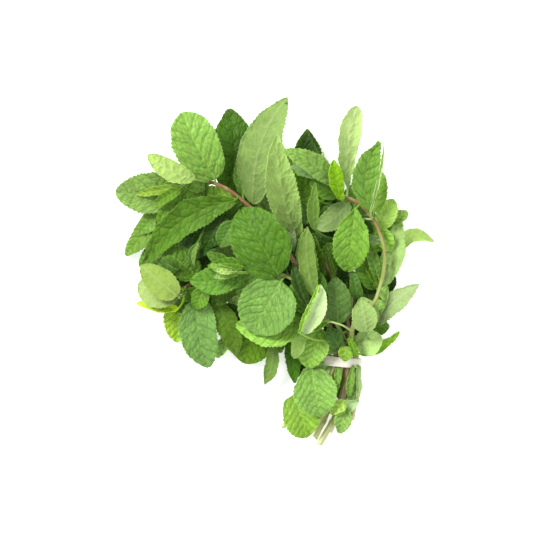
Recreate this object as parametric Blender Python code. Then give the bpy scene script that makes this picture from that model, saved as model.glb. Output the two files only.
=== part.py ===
"""A bunch of fresh mint, laid down: eight cut stems held by one rubber band, with their leaves.

The stems run up +Y from the cut ends to the leaves, and +Z is up from the table that the bunch lies on.
Every leaf is a thin shell of its own. The pieces are laid one over another in the order of the tables,
so each rests just clear of what is under it.
"""

import math

import bmesh
import bpy
import numpy as np
from mathutils import Vector

MM = 0.001
BLADE = 0.55          # thickness of a leaf blade
GAP = 0.95            # clear height kept between a leaf and what is under it
CELL = 1.0            # size of one cell of the height map
STALK = 2.6           # length of the leaf stalk that belongs to each blade
BAND_CENTRE = (43.6, -58.5, 9.9)
BAND_TILT = -5.0      # the band's turn about +Z, in degrees
BAND_WIDE = 26.0      # outer size of the band across the bunch
BAND_TALL = 18.4      # outer size of the band from the table up
BAND_STRIP = 6.35     # height of the rubber strip
BAND_THICK = 0.9      # thickness of the rubber
STEM_SIDES = 8
RING_EVERY = 7.0      # distance between two rings of a stem's surface

# Leaf colours by kind: upper side, pale underside, young leaf and dark inner leaf.
COLOURS = {
    "top": (0.13, 0.33, 0.05),
    "under": (0.30, 0.48, 0.17),
    "young": (0.36, 0.55, 0.09),
    "dark": (0.05, 0.16, 0.03),
    "stem_red": (0.28, 0.13, 0.08),
    "stem_green": (0.40, 0.46, 0.17),
    "rubber": (0.83, 0.77, 0.62),
}

# Blade outlines: place of the widest point along the blade, base roundness, tip shape and tip bluntness.
OUTLINES = {
    "oval": (0.44, 0.50, 2.2, 0.74),
    "round": (0.48, 0.48, 2.4, 0.62),
    "long": (0.42, 0.60, 2.0, 0.85),
    "spoon": (0.62, 0.80, 2.4, 0.60),
}

# Stems: width at the cut end, width at the tip, colour, and the points of the run in millimetres.
STEMS = {
    "stem_1": (4.4, 2.8, "stem_red", [
        (12.4, -107.3, 6), (22, -91, 8.5), (32, -74, 12.2), (38.6, -62.6, 14.4), (39.4, -54.2, 14.6),
        (37.5, -42, 16), (32, -26, 18), (22, -8, 20), (10, 10, 22), (0, 25, 25), (-10, 37, 28),
        (-19.1, 44.9, 31), (-29.3, 53, 34), (-40.3, 58.5, 35), (-54, 61.1, 33), (-62.4, 56.6, 31)]),
    "stem_2": (3.8, 2.6, "stem_red", [
        (4.6, -102, 3.5), (15, -87, 5.5), (27, -71.5, 8.6), (34.6, -62.2, 9.9), (35.3, -54.2, 10.2),
        (31, -44, 11), (22, -36, 12), (8, -29, 13.5), (-10, -20, 15.5), (-30, -12, 18),
        (-45, -7.5, 20), (-54.6, -6.5, 21), (-64.4, -13, 21)]),
    "stem_3": (3.8, 2.4, "stem_green", [
        (22.5, -105.5, 5.5), (33, -90, 9.5), (39.6, -75, 13.2), (43.0, -62.9, 15), (43.8, -54.7, 15.6),
        (43.5, -44, 20), (39, -32, 27), (30, -20, 34), (18, -9, 40), (6, -1.8, 44), (-5, 0.4, 46),
        (-14, 0.6, 47), (-23.4, 0.7, 47)]),
    "stem_4": (3.9, 2.8, "stem_red", [
        (28.6, -113.8, 5.0), (38.4, -96.2, 8.5), (43.9, -80, 12.5), (47.5, -63.2, 14.4),
        (48.3, -55.1, 15.2), (49.3, -44, 18), (49.8, -36, 21), (53, -28.5, 24), (59, -23.5, 27),
        (63.6, -19.4, 29), (66.5, -12.5, 31), (69.2, -2.7, 33), (70.7, 7.6, 35), (70.1, 16.3, 36),
        (67.3, 25.9, 37), (63, 35.1, 38), (57.7, 41.6, 38), (51.2, 46.8, 37), (43.6, 49.7, 35)]),
    "stem_5": (3.8, 2.6, "stem_green", [
        (18, -104.5, 2.4), (28, -89, 4), (36, -74, 7), (40.0, -62.6, 9.6), (40.8, -54.5, 9.8),
        (37, -40, 10.5), (31, -22, 11), (22, -4, 12), (11, 14, 13), (1, 28, 14), (-8, 40, 15.5),
        (-17, 49, 17)]),
    "stem_6": (3.6, 2.6, "stem_green", [
        (26.0, -109.5, 2.2), (34.5, -92, 3), (40.6, -76, 4.2), (42.7, -62.9, 4.9), (43.5, -54.8, 5),
        (46, -42, 6.5), (49, -26, 9), (50, -8, 12), (48.5, 12, 15), (45.5, 30, 18), (42, 44, 20),
        (39, 56.5, 22)]),
    "stem_7": (3.6, 2.6, "stem_red", [
        (36.0, -104.8, 3.0), (42.2, -90, 5), (45.8, -76, 8), (46.4, -63.1, 10), (47.3, -54.9, 10.2),
        (47.8, -44, 12.5), (46.5, -30, 17), (42, -14, 22), (36.1, -1.3, 26), (31.2, 6.5, 28),
        (25, 17, 29.5), (19, 29, 30)]),
    "stem_8": (3.2, 2.4, "stem_green", [
        (50.5, -97, 2.4), (52.6, -83.3, 5.5), (53, -72, 8.6), (51.6, -63.6, 9.9), (52.4, -55.5, 10),
        (55.5, -47, 10.6), (60, -40, 12), (65, -35, 14)]),
}

# Leaves, bottom first. Each row: name, base (with its height where it hangs free), tip, width, rise of the tip over the base, arch of the
# midrib, sideways bow, roll in degrees, cup of the edges, side that faces up, colour and outline.
# A stem's own name in the list is the place where that stem is laid.
LAID = [
    ("leaf_low_1", (12, -4), (-32, -22), 27, 2, 2.5, 3, 10, 2.5, -1, "under", "oval"),
    ("leaf_low_2", (-8, 16), (-52, 12), 28, 0, 2.5, -3, -12, 2.5, -1, "under", "oval"),
    ("leaf_low_3", (14, 20), (-14, 60), 27, 3, 2.5, 3, 10, 2.5, -1, "under", "oval"),
    ("leaf_low_4", (40, 6), (62, 46), 27, 2, 2.5, -3, -9, 2.5, -1, "dark", "oval"),
    ("leaf_low_5", (42, -28), (72, 0), 25, 2, 2.5, 3, 10, 2.5, -1, "dark", "oval"),
    ("leaf_b", (-31, 54, 13), (-30.6, 106.3), 24, -8, 5, -3.5, 14, 3, 1, "dark", "oval"),
    ("leaf_f", (38.4, 57.9, 18), (20.8, 94.3), 18, -10, 4, 8, -16, 2.5, 1, "dark", "oval"),
    ("leaf_aw", (-65, -19.5, 13), (-65.2, -47.2), 20, -10, 3, 2, 14, 2.5, 1, "young", "oval"),
    ("leaf_ai", (-11, -28), (-20, -58.5), 27, -5, 3.5, 0, -9, 2, 1, "top", "round"),
    ("leaf_ah", (-0.7, -44), (-6.2, -73.1), 8.5, -7, 3, 2, 16, 1.5, 1, "under", "long"),
    ("leaf_ak", (22, -45), (13.7, -70.2), 10, -3, 2.5, 1, -14, 1.5, 1, "dark", "long"),
    ("leaf_au", (-72, 43, 20), (-96.2, 11.7), 11, -16, 3, 2, 26, 1.5, 1, "top", "oval"),
    "stem_6",
    "stem_8",
    "stem_5",
    "stem_2",
    ("leaf_h", (31, 46), (8.5, 66), 20, 6, 3, 1, -16, 2, 1, "dark", "oval"),
    ("leaf_r", (48.1, 46.2), (26, 28.6), 15, 4, 3, 2, 18, 2.5, -1, "under", "oval"),
    ("leaf_d", (-12.4, 44), (9.6, 112.6), 27, 18, 7, 7, -20, 3.5, -1, "under", "long"),
    ("leaf_e", (14.5, 22), (0.7, 89.1), 21, 14, 6, 4, 20, 3.5, -1, "under", "long"),
    ("leaf_w", (40.3, -33), (38.6, -2.6), 19, 5, 3, 0, -12, 2, 1, "dark", "oval"),
    ("leaf_y", (65, -34), (93.6, -8.5), 14, 12, 4, 2, -26, 2.5, -1, "under", "long"),
    ("leaf_z", (61.8, -36.4), (55.3, -16), 16, 8, 3, -1, 16, 2.5, -1, "under", "oval"),
    ("leaf_ac", (55.5, -53.4), (81.3, -38.6), 8, 7, 3, -2, 22, 1.5, 1, "dark", "long"),
    ("leaf_ab", (52.6, -47.4), (70.4, -43.6), 14, 8, 3, -1, -18, 2.5, -1, "under", "oval"),
    "stem_7",
    ("leaf_u", (30, -7.8), (24.7, 24.1), 10, 4, 3, 1, -20, 1.5, 1, "dark", "long"),
    ("leaf_t", (26, -16.3), (20.2, 29.9), 13, 8, 4, 3, 20, 2.5, -1, "under", "long"),
    ("leaf_x", (17.6, -37.1), (28.6, -7.8), 13, 9, 3, 2, 18, 2.5, -1, "under", "oval"),
    ("leaf_bb", (-51, -2), (-74, 16), 21, -3, 3, 0, 14, 2, 1, "top", "oval"),
    ("leaf_be", (-38, 36), (-56, 10), 19, -4, 3, 2, 14, 2, 1, "dark", "oval"),
    ("leaf_ay", (-40, -18), (-26, -54), 16, -11, 4, 2, 16, 2, 1, "top", "oval"),
    ("leaf_ax", (-51.4, -16.3), (-44.2, -62.7), 26, -17, 6, -3, -15, 3, 1, "top", "oval"),
    ("leaf_av", (-62.5, -13.5), (-91, -8.5), 24, -19, 6, 0, 16, 4, -1, "young", "round"),
    "stem_1",
    ("leaf_aq", (-62.4, 55.3), (-104.3, 52.7), 21, -19, 6, 2, -16, 3, 1, "top", "oval"),
    ("leaf_ap", (-27, 47), (-87.4, 4.0), 21, -22, 9, -9, -20, 4, 1, "top", "long"),
    ("leaf_a", (-39.7, 61.1), (-60.5, 103.4), 31, 9, 6, 1, 16, 3.5, 1, "top", "round"),
    ("leaf_ar", (-52.7, 60.2), (-81.9, 75.4), 14, 7, 3, 2, 20, 2.5, -1, "young", "oval"),
    ("leaf_p", (79.3, 13.7, 24), (104.4, 21.5), 9, -14, 4, 8.5, 20, 1.5, -1, "under", "long"),
    ("leaf_o", (68.9, -8.5, 21), (80.6, 36.4), 15, 4, 4, -2, -26, 2, -1, "under", "long"),
    ("leaf_m", (67.6, 29.3, 26), (76.4, 48.4), 14, 4, 3, 0, -24, 2, -1, "under", "oval"),
    ("leaf_l", (63.7, 39.7, 28), (68.2, 66.2), 14, 5, 3, 0, -20, 2, 1, "dark", "oval"),
    ("leaf_i", (46.6, 55.6, 31), (52.6, 107.9), 13, 11, 5, 3.0, 26, 2.5, -1, "under", "spoon"),
    ("leaf_s", (24.7, 28), (25.4, 58.5), 8, 6, 3, 1, 34, 2, -1, "under", "long"),
    ("leaf_g", (39, 56.6), (5.2, 78.7), 15, 3, 4, -3, 18, 2.5, 1, "top", "long"),
    "stem_4",
    ("leaf_k", (61.8, 39.7), (67.6, 84.5), 16, 11, 5, 6, 24, 3.5, 1, "top", "long"),
    ("leaf_j", (42.3, 47.5), (37.1, 72.8), 10, 10, 2.5, 1, 16, 2, 1, "young", "oval"),
    ("leaf_q", (51.4, 41.6), (46.2, 1.3), 24, -10, 6, 0, -14, 4, 1, "top", "oval"),
    ("leaf_ag", (12.5, -80.5), (20.5, -108.2), 26, -6, 4, 2, 12, 3, 1, "young", "round"),
    ("leaf_af", (26, -64.5), (31.6, -95.5), 26, -6, 5, -1, -12, 3.5, 1, "top", "round"),
    ("leaf_ae", (27, -35.5), (21.3, -62.8), 23, -8, 5, -1, 14, 3.5, 1, "top", "oval"),
    "stem_3",
    ("leaf_aj", (21.5, -27), (-26.5, -34.5), 27, -12, 6, 4, 12, 3.5, 1, "top", "oval"),
    ("leaf_an", (-20, 0), (-56.2, -5.2), 19, -11, 5, 2, -10, 3, 1, "top", "oval"),
    ("leaf_al", (3.2, -5.4), (-15.8, -38.6), 38, -11, 6.5, 0, 7, 4.5, 1, "top", "round"),
    ("leaf_am", (1.6, -1.2), (-22.6, 41.2), 37, -4, 6.5, 0, -8, 4.5, 1, "top", "round"),
    ("shoot_3", (-21, 4.2), (-44, 4.0), 9, -4, 3.5, -2, 14, 2, 1, "young", "long"),
]


def clear_scene():
    for item in list(bpy.data.objects):
        bpy.data.objects.remove(item, do_unlink=True)


def make_material(name, colour, roughness):
    mat = bpy.data.materials.new(name)
    mat.use_nodes = True
    shader = mat.node_tree.nodes["Principled BSDF"]
    shader.inputs["Base Color"].default_value = (*colour, 1.0)
    shader.inputs["Roughness"].default_value = roughness
    shader.inputs["Metallic"].default_value = 0.0
    mat.diffuse_color = (*colour, 1.0)
    return mat


def blade_width(u, outline):
    """Half-width of a blade as a share of its greatest, at u from 0 at the base to 1 at the tip."""
    widest, base_power, tip_power, blunt = OUTLINES[outline]
    u = np.clip(u, 0.0, 1.0)
    low = np.clip(u / widest, 0.0, 1.0)
    high = np.clip((u - widest) / (1.0 - widest), 0.0, 1.0)
    below = np.clip(1.0 - (1.0 - low) ** 2, 0.0, 1.0) ** base_power
    above = np.clip(1.0 - high ** tip_power, 0.0, 1.0) ** blunt
    return np.where(u < widest, below, above)


def blade_surface(row, u, v):
    """Points of a leaf's middle surface, before it is laid: u along the midrib, v from -1 to 1 across."""
    _, base, tip, width, rise, arch, bow, roll, cup, _, _, outline = row
    base = np.array(base[:2], float)
    tip = np.array(tip, float)
    length = np.linalg.norm(tip - base)
    ahead = (tip - base) / length
    left = np.array([-ahead[1], ahead[0]])
    lean = math.radians(roll)
    hump = 4.0 * np.clip(u, 0.0, 1.0) * (1.0 - u)
    half = 0.5 * width * blade_width(u, outline) + 0.7 * np.clip(1.0 - u * 8.0, 0.0, 1.0)
    side = bow * hump + v * half
    x = base[0] + ahead[0] * length * u + left[0] * side
    y = base[1] + ahead[1] * length * u + left[1] * side
    z = rise * np.clip(u, 0.0, 1.0) + arch * hump + v * half * math.tan(lean) + cup * (2.0 * half / width) * v ** 2
    return np.stack([x, y, z], axis=-1), length


class HeightMap:
    """The height reached so far by the laid pieces, in square cells seen from above."""

    def __init__(self):
        self.low = np.array([-130.0, -130.0])
        self.cells = np.zeros((260, 260))

    def index(self, points):
        at = np.floor((points[..., :2] - self.low) / CELL).astype(int)
        return np.clip(at[..., 0], 1, 258), np.clip(at[..., 1], 1, 258)

    def top(self, points):
        i, j = self.index(points)
        best = self.cells[i, j]
        for di in (-1, 0, 1):
            for dj in (-1, 0, 1):
                best = np.maximum(best, self.cells[i + di, j + dj])
        return best

    def add(self, points, above):
        i, j = self.index(points)
        np.maximum.at(self.cells, (i.ravel(), j.ravel()), (points[..., 2] + above).ravel())


def spline(points, count):
    """Evenly numbered points on a smooth curve through the given ones."""
    pts = np.array(points, float)
    ends = np.vstack([2 * pts[0] - pts[1], pts, 2 * pts[-1] - pts[-2]])
    at = np.linspace(0.0, len(pts) - 1.0, count)
    out = []
    for t in at:
        k = min(int(t), len(pts) - 2)
        f = t - k
        a, b, c, d = ends[k], ends[k + 1], ends[k + 2], ends[k + 3]
        out.append(0.5 * (2 * b + (c - a) * f + (2 * a - 5 * b + 4 * c - d) * f * f
                          + (3 * b - a - 3 * c + d) * f ** 3))
    return np.array(out)


def even_steps(path, count):
    """The same path with its points at even distances."""
    run = np.concatenate([[0.0], np.cumsum(np.linalg.norm(np.diff(path, axis=0), axis=1))])
    at = np.linspace(0.0, run[-1], count)
    return np.stack([np.interp(at, run, path[:, k]) for k in range(3)], axis=1)


def stem_path(name):
    """A stem's own run, before it is laid."""
    return even_steps(spline(STEMS[name][3], 400), 60)


def lay_stem(name, laid):
    """Lifts the run of a stem where something lies under it, and marks it on the height map."""
    wide, thin, _, _ = STEMS[name]
    path = stem_path(name)
    share = np.linspace(0.0, 1.0, len(path))
    size = wide + (thin - wide) * share
    need = laid.top(path)
    for off_x, off_y in ((-1.8, 0), (1.8, 0), (0, -1.8), (0, 1.8)):
        need = np.maximum(need, laid.top(path + np.array([off_x, off_y, 0.0])))
    need += GAP + 0.62 * size
    free = np.clip((path[:, 1] + 50.0) / 8.0, 0.0, 1.0)
    lift = np.clip(need - path[:, 2], 0.0, None) * free
    for _ in range(3):
        wider = np.maximum(lift, np.maximum(np.roll(lift, 1), np.roll(lift, -1)) * 0.9)
        lift = wider * free
    path[:, 2] += lift
    return path, size


def lay_blade(row, laid, stems):
    """Tilts and lifts a leaf until it clears what is under it. Returns its tilt and its lift."""
    length = math.dist(row[1][:2], row[2])
    u, v = np.meshgrid(np.linspace(-STALK / length, 1.0, 48), np.linspace(-1.0, 1.0, 25), indexing="ij")
    points, _ = blade_surface(row, u, v)
    need = laid.top(points) + GAP + BLADE * 0.5 - points[..., 2]
    base = np.array(row[1][:2], float)
    anchor = row[1][2] if len(row[1]) == 3 else 0.0
    nearest = 14.0 if anchor == 0.0 else 0.0
    for path in stems.values():
        away = np.linalg.norm(path[:, :2] - base, axis=1)
        if away.min() < nearest:
            nearest = away.min()
            anchor = path[away.argmin(), 2] + 1.0
    lift = max(anchor, need[u < 0.12].max())
    far = u > 0.12
    tilt = np.clip((need[far] - lift) / u[far], 0.0, None).max()
    steepest = 0.42 * length
    if tilt > steepest:
        tilt = steepest
        lift = max(lift, (need - tilt * u).max())
    return tilt, lift


def leaf_points(row, tilt, lift, u, v):
    points, _ = blade_surface(row, u, v)
    points[..., 2] += lift + tilt * np.clip(u, 0.0, 1.0)
    return points


def new_object(name, verts, faces, mat):
    mesh = bpy.data.meshes.new(name)
    mesh.from_pydata([Vector(v) * MM for v in verts], [], faces)
    bm = bmesh.new()
    bm.from_mesh(mesh)
    bmesh.ops.triangulate(bm, faces=bm.faces)
    bmesh.ops.recalc_face_normals(bm, faces=bm.faces)
    bm.to_mesh(mesh)
    bm.free()
    mesh.materials.append(mat)
    item = bpy.data.objects.new(name, mesh)
    bpy.context.scene.collection.objects.link(item)
    mesh.shade_smooth()
    return item


def build_leaf(row, tilt, lift, mats):
    """A thin closed shell: the middle surface moved half the blade's thickness up and down."""
    rows = 9
    cols = 5
    along = 0.5 - 0.5 * np.cos(np.pi * np.linspace(0.0, 1.0, rows))
    along = 0.35 * along + 0.65 * np.linspace(0.0, 1.0, rows)
    along[-1] = 0.985
    along = np.concatenate([[-STALK / math.dist(row[1][:2], row[2])], along])
    u, v = np.meshgrid(along, np.linspace(-1.0, 1.0, cols), indexing="ij")
    middle = leaf_points(row, tilt, lift, u, v)
    step_u = np.gradient(middle, axis=0)
    step_v = np.gradient(middle, axis=1)
    normal = np.cross(step_u, step_v)
    normal /= np.linalg.norm(normal, axis=-1, keepdims=True)
    half = np.full(middle.shape[:2], BLADE * 0.5)
    verts = np.concatenate([(middle + normal * half[..., None]).reshape(-1, 3),
                            (middle - normal * half[..., None]).reshape(-1, 3)])
    count = (rows + 1) * cols

    def at(i, j, side):
        return side * count + i * cols + j

    faces = []
    for i in range(rows):
        for j in range(cols - 1):
            faces.append((at(i, j, 0), at(i + 1, j, 0), at(i + 1, j + 1, 0), at(i, j + 1, 0)))
            faces.append((at(i, j, 1), at(i, j + 1, 1), at(i + 1, j + 1, 1), at(i + 1, j, 1)))
        for j in (0, cols - 1):
            faces.append((at(i, j, 0), at(i, j, 1), at(i + 1, j, 1), at(i + 1, j, 0)))
    for i in (0, rows):
        for j in range(cols - 1):
            faces.append((at(i, j, 0), at(i, j + 1, 0), at(i, j + 1, 1), at(i, j, 1)))
    return new_object(row[0], verts, faces, mats[row[10]])


def build_stem(name, path, size, mats):
    """A square stem with rounded corners, swept along its run and closed at both ends."""
    stations = int(np.linalg.norm(np.diff(path, axis=0), axis=1).sum() / RING_EVERY) + 2
    path = even_steps(path, stations)
    size = np.interp(np.linspace(0, 1, stations), np.linspace(0, 1, len(size)), size)
    verts = []
    side = None
    for k in range(stations):
        ahead = Vector(path[min(k + 1, stations - 1)] - path[max(k - 1, 0)]).normalized()
        if side is None:
            side = ahead.cross(Vector((0, 0, 1))).normalized()
        side = (side - ahead * side.dot(ahead)).normalized()
        up = side.cross(ahead).normalized()
        for n in range(STEM_SIDES):
            turn = 2.0 * math.pi * (n + 0.5) / STEM_SIDES
            verts.append(Vector(path[k]) + (side * math.cos(turn) + up * math.sin(turn)) * size[k] * 0.53)
    faces = [tuple(range(STEM_SIDES - 1, -1, -1))]
    for k in range(stations - 1):
        for n in range(STEM_SIDES):
            a = k * STEM_SIDES + n
            b = k * STEM_SIDES + (n + 1) % STEM_SIDES
            faces.append((a, b, b + STEM_SIDES, a + STEM_SIDES))
    last = (stations - 1) * STEM_SIDES
    faces.append(tuple(last + n for n in range(STEM_SIDES)))
    return new_object(name, verts, faces, mats[STEMS[name][2]])


def build_band(mats):
    """The rubber band: a strip in an oval ring round the neck, with its height along the stems."""
    steps = 40
    tilt = math.radians(BAND_TILT)
    across = Vector((math.cos(tilt), math.sin(tilt), 0))
    along = Vector((-math.sin(tilt), math.cos(tilt), 0))
    up = Vector((0, 0, 1))
    centre = Vector(BAND_CENTRE)
    section = [(0.0, -0.5), (0.0, 0.5), (-1.0, 0.5), (-1.0, -0.5)]
    verts = []
    for k in range(steps):
        turn = 2.0 * math.pi * k / steps
        for inset, place in section:
            wide = BAND_WIDE * 0.5 + inset * BAND_THICK
            tall = BAND_TALL * 0.5 + inset * BAND_THICK
            round_x = math.copysign(abs(math.cos(turn)) ** 0.86, math.cos(turn))
            round_z = math.copysign(abs(math.sin(turn)) ** 0.86, math.sin(turn))
            verts.append(centre + across * wide * round_x + up * tall * round_z
                         + along * place * BAND_STRIP)
    faces = []
    for k in range(steps):
        nxt = (k + 1) % steps
        for n in range(4):
            m = (n + 1) % 4
            faces.append((k * 4 + n, k * 4 + m, nxt * 4 + m, nxt * 4 + n))
    return new_object("band", verts, faces, mats["rubber"])


def centre_on_table(items):
    """Moves the meshes so the bunch stands on z = 0 with the middle of its box over the origin."""
    points = np.array([v.co for item in items for v in item.data.vertices])
    low = points.min(axis=0)
    high = points.max(axis=0)
    away = Vector((-(low[0] + high[0]) / 2.0, -(low[1] + high[1]) / 2.0, -low[2]))
    for item in items:
        for vert in item.data.vertices:
            vert.co += away
        item.data.update()


def build():
    clear_scene()
    rough = {"rubber": 0.7, "stem_red": 0.45, "stem_green": 0.45}
    mats = {key: make_material(key, colour, rough.get(key, 0.5)) for key, colour in COLOURS.items()}
    laid = HeightMap()
    stems = {}
    sizes = {}
    leaves = []
    for row in LAID:
        if isinstance(row, str):
            path, size = lay_stem(row, laid)
            stems[row] = path
            sizes[row] = size
            fine = even_steps(path, 500)
            wide = np.interp(np.linspace(0, 1, 500), np.linspace(0, 1, len(size)), size) * 0.5
            for off_x in (-1.0, -0.5, 0.0, 0.5, 1.0):
                for off_y in (-1.0, -0.5, 0.0, 0.5, 1.0):
                    moved = fine.copy()
                    moved[:, 0] += off_x * wide * 0.8
                    moved[:, 1] += off_y * wide * 0.8
                    laid.add(moved, wide)
            continue
        tilt, lift = lay_blade(row, laid, stems)
        start = -STALK / math.dist(row[1][:2], row[2])
        u, v = np.meshgrid(np.linspace(start, 1.0, 90), np.linspace(-1.0, 1.0, 60), indexing="ij")
        laid.add(leaf_points(row, tilt, lift, u, v), BLADE * 0.5)
        leaves.append((row, tilt, lift))
    items = [build_stem(name, path, sizes[name], mats) for name, path in stems.items()]
    items += [build_leaf(row, tilt, lift, mats) for row, tilt, lift in leaves]
    items.append(build_band(mats))
    centre_on_table(items)


build()
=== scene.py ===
"""A bunch of fresh mint lying on a pale table: cut stems, a rubber band and the leaves, seen from above."""

import math

import bpy
import numpy as np
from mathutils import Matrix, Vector
from mathutils.bvhtree import BVHTree


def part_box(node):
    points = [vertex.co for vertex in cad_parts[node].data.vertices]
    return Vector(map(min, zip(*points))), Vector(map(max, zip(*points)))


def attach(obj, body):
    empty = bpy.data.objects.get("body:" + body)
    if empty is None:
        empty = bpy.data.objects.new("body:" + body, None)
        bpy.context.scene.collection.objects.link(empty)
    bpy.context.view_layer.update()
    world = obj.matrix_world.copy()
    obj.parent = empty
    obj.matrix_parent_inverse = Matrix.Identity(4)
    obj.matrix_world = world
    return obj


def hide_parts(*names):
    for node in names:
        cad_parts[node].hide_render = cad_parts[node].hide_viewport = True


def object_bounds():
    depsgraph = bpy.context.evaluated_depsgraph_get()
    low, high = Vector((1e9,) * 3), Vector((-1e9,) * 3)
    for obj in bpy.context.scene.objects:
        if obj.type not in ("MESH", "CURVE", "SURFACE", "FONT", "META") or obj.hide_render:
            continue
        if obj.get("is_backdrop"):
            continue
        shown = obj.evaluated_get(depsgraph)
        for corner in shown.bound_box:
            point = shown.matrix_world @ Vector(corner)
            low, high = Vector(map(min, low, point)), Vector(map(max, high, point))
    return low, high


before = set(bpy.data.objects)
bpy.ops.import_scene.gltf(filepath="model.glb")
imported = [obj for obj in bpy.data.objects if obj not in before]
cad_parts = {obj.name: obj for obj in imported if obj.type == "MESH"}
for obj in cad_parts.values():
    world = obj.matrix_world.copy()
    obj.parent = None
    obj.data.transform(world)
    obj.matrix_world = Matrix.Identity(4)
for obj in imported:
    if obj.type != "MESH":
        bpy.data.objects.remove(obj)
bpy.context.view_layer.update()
bpy.ops.object.select_all(action="DESELECT")

# ------------------------------------------------------------
# Cut stems. Mint stems are square, with rounded corners and a shallow groove down each side.
# They swell at the joints where the leaves sit, are red-brown where the sun reached them, and
# end in a flat, pale, wet cut. Each one grew as a single piece.

MM = 0.001
SIDE_POINTS = 28            # points round one stem
STEP = 1.1 * MM             # distance between two rings of a stem
JOINT_EVERY = 31.0 * MM     # distance between two joints of a stem
GROOVE = 0.07               # depth of the groove in each side, as a share of the stem's radius
SLIM = 0.76                 # a stem is a little slimmer between its joints than its solid
EIGHTH_TURN = 0.785         # from the middle of a stem's side to its rounded corner, in radians
RING_POINTS = 8             # corner points in one ring of a packed stem
RING_REACH = 5.0 * MM       # no ring of a packed stem is wider than this


def solid_points(node):
    """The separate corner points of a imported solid."""
    points = np.array([v.co[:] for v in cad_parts[node].data.vertices])
    _, first = np.unique(np.round(points * 1e6).astype(int), axis=0, return_index=True)
    return points[first]


def ring_centres(node):
    """Centres and radii of a stem's rings, from its cut end to its tip."""
    left = solid_points(node)
    centre = left[left[:, 1].argmin()]
    centres = []
    radii = []
    while len(left):
        nearest = left[np.linalg.norm(left - centre, axis=1).argmin()]
        gaps = np.linalg.norm(left - nearest, axis=1)
        near = [i for i in gaps.argsort()[:RING_POINTS] if gaps[i] < RING_REACH]
        group = left[near]
        if len(near) == RING_POINTS:
            centre = group.mean(axis=0)
            centres.append(centre)
            radii.append(np.linalg.norm(group - centre, axis=1).mean())
        left = np.delete(left, near, axis=0)
    return np.array(centres), np.array(radii)


def smooth_run(points, count):
    """A smooth curve through the points, as evenly spaced points with the share of each along it."""
    pts = np.array(points, float)
    ends = np.vstack([2 * pts[0] - pts[1], pts, 2 * pts[-1] - pts[-2]])
    fine = []
    for t in np.linspace(0.0, len(pts) - 1.0, count * 4):
        k = min(int(t), len(pts) - 2)
        f = t - k
        a, b, c, d = ends[k:k + 4]
        fine.append(0.5 * (2 * b + (c - a) * f + (2 * a - 5 * b + 4 * c - d) * f * f
                           + (3 * b - a - 3 * c + d) * f ** 3))
    fine = np.array(fine)
    run = np.concatenate([[0.0], np.cumsum(np.linalg.norm(np.diff(fine, axis=0), axis=1))])
    at = np.linspace(0.0, run[-1], count)
    return np.stack([np.interp(at, run, fine[:, k]) for k in range(3)], axis=1), run[-1]


def frames_along(path):
    """Directions ahead, sideways and up at every point of a path."""
    ahead = np.gradient(path, axis=0)
    ahead /= np.linalg.norm(ahead, axis=1, keepdims=True)
    side = np.zeros_like(path)
    first = np.cross(ahead[0], (0.0, 0.0, 1.0))
    side[0] = first / np.linalg.norm(first)
    for k in range(1, len(path)):
        carried = side[k - 1] - ahead[k] * side[k - 1].dot(ahead[k])
        side[k] = carried / np.linalg.norm(carried)
    return ahead, side, np.cross(side, ahead)


def give(mesh, name, kind, values):
    """Stores one value or vector for every point of a mesh, for its material to read."""
    layer = mesh.attributes.new(name, kind, "POINT")
    layer.data.foreach_set("value" if kind == "FLOAT" else "vector",
                           np.asarray(values, np.float32).ravel())


def tube_object(name, rings, sides):
    """A closed tube one unit long and one unit in radius, cut into rings, for bending to a run."""
    bpy.ops.mesh.primitive_cylinder_add(vertices=sides, radius=1.0, depth=1.0, end_fill_type="TRIFAN",
                                        location=(0.0, 0.0, 0.5))
    tube = bpy.context.object
    tube.name = name
    tube.data.name = name
    bpy.ops.object.mode_set(mode="EDIT")
    bpy.ops.mesh.select_mode(type="EDGE")
    bpy.ops.mesh.select_all(action="DESELECT")
    bpy.ops.object.mode_set(mode="OBJECT")
    for edge in tube.data.edges:
        a, b = (tube.data.vertices[i].co for i in edge.vertices)
        edge.select = abs(a.z - b.z) > 0.5
    bpy.ops.object.mode_set(mode="EDIT")
    bpy.ops.mesh.subdivide(number_cuts=rings - 2)
    bpy.ops.object.mode_set(mode="OBJECT")
    bpy.ops.object.transform_apply(location=True, rotation=False, scale=False)
    return tube


def points_of(mesh):
    found = np.empty(len(mesh.vertices) * 3, np.float32)
    mesh.vertices.foreach_get("co", found)
    return found.reshape(-1, 3).astype(float)


def set_points(mesh, points):
    mesh.vertices.foreach_set("co", np.asarray(points, np.float32).ravel())
    mesh.update()


def face_outward(piece):
    """Turns the faces of the piece being worked on outwards and smooths it."""
    bpy.ops.object.mode_set(mode="EDIT")
    bpy.ops.mesh.select_all(action="SELECT")
    bpy.ops.mesh.normals_make_consistent(inside=False)
    bpy.ops.object.mode_set(mode="OBJECT")
    piece.data.shade_smooth()


def wobble(x, seed, size):
    """A smooth uneven curve between about -1 and 1, different for each seed."""
    return (np.sin(x / size + seed * 1.7) + 0.6 * np.sin(2.3 * x / size + seed * 4.1)
            + 0.4 * np.sin(4.1 * x / size + seed * 2.9)) / 2.0


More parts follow.
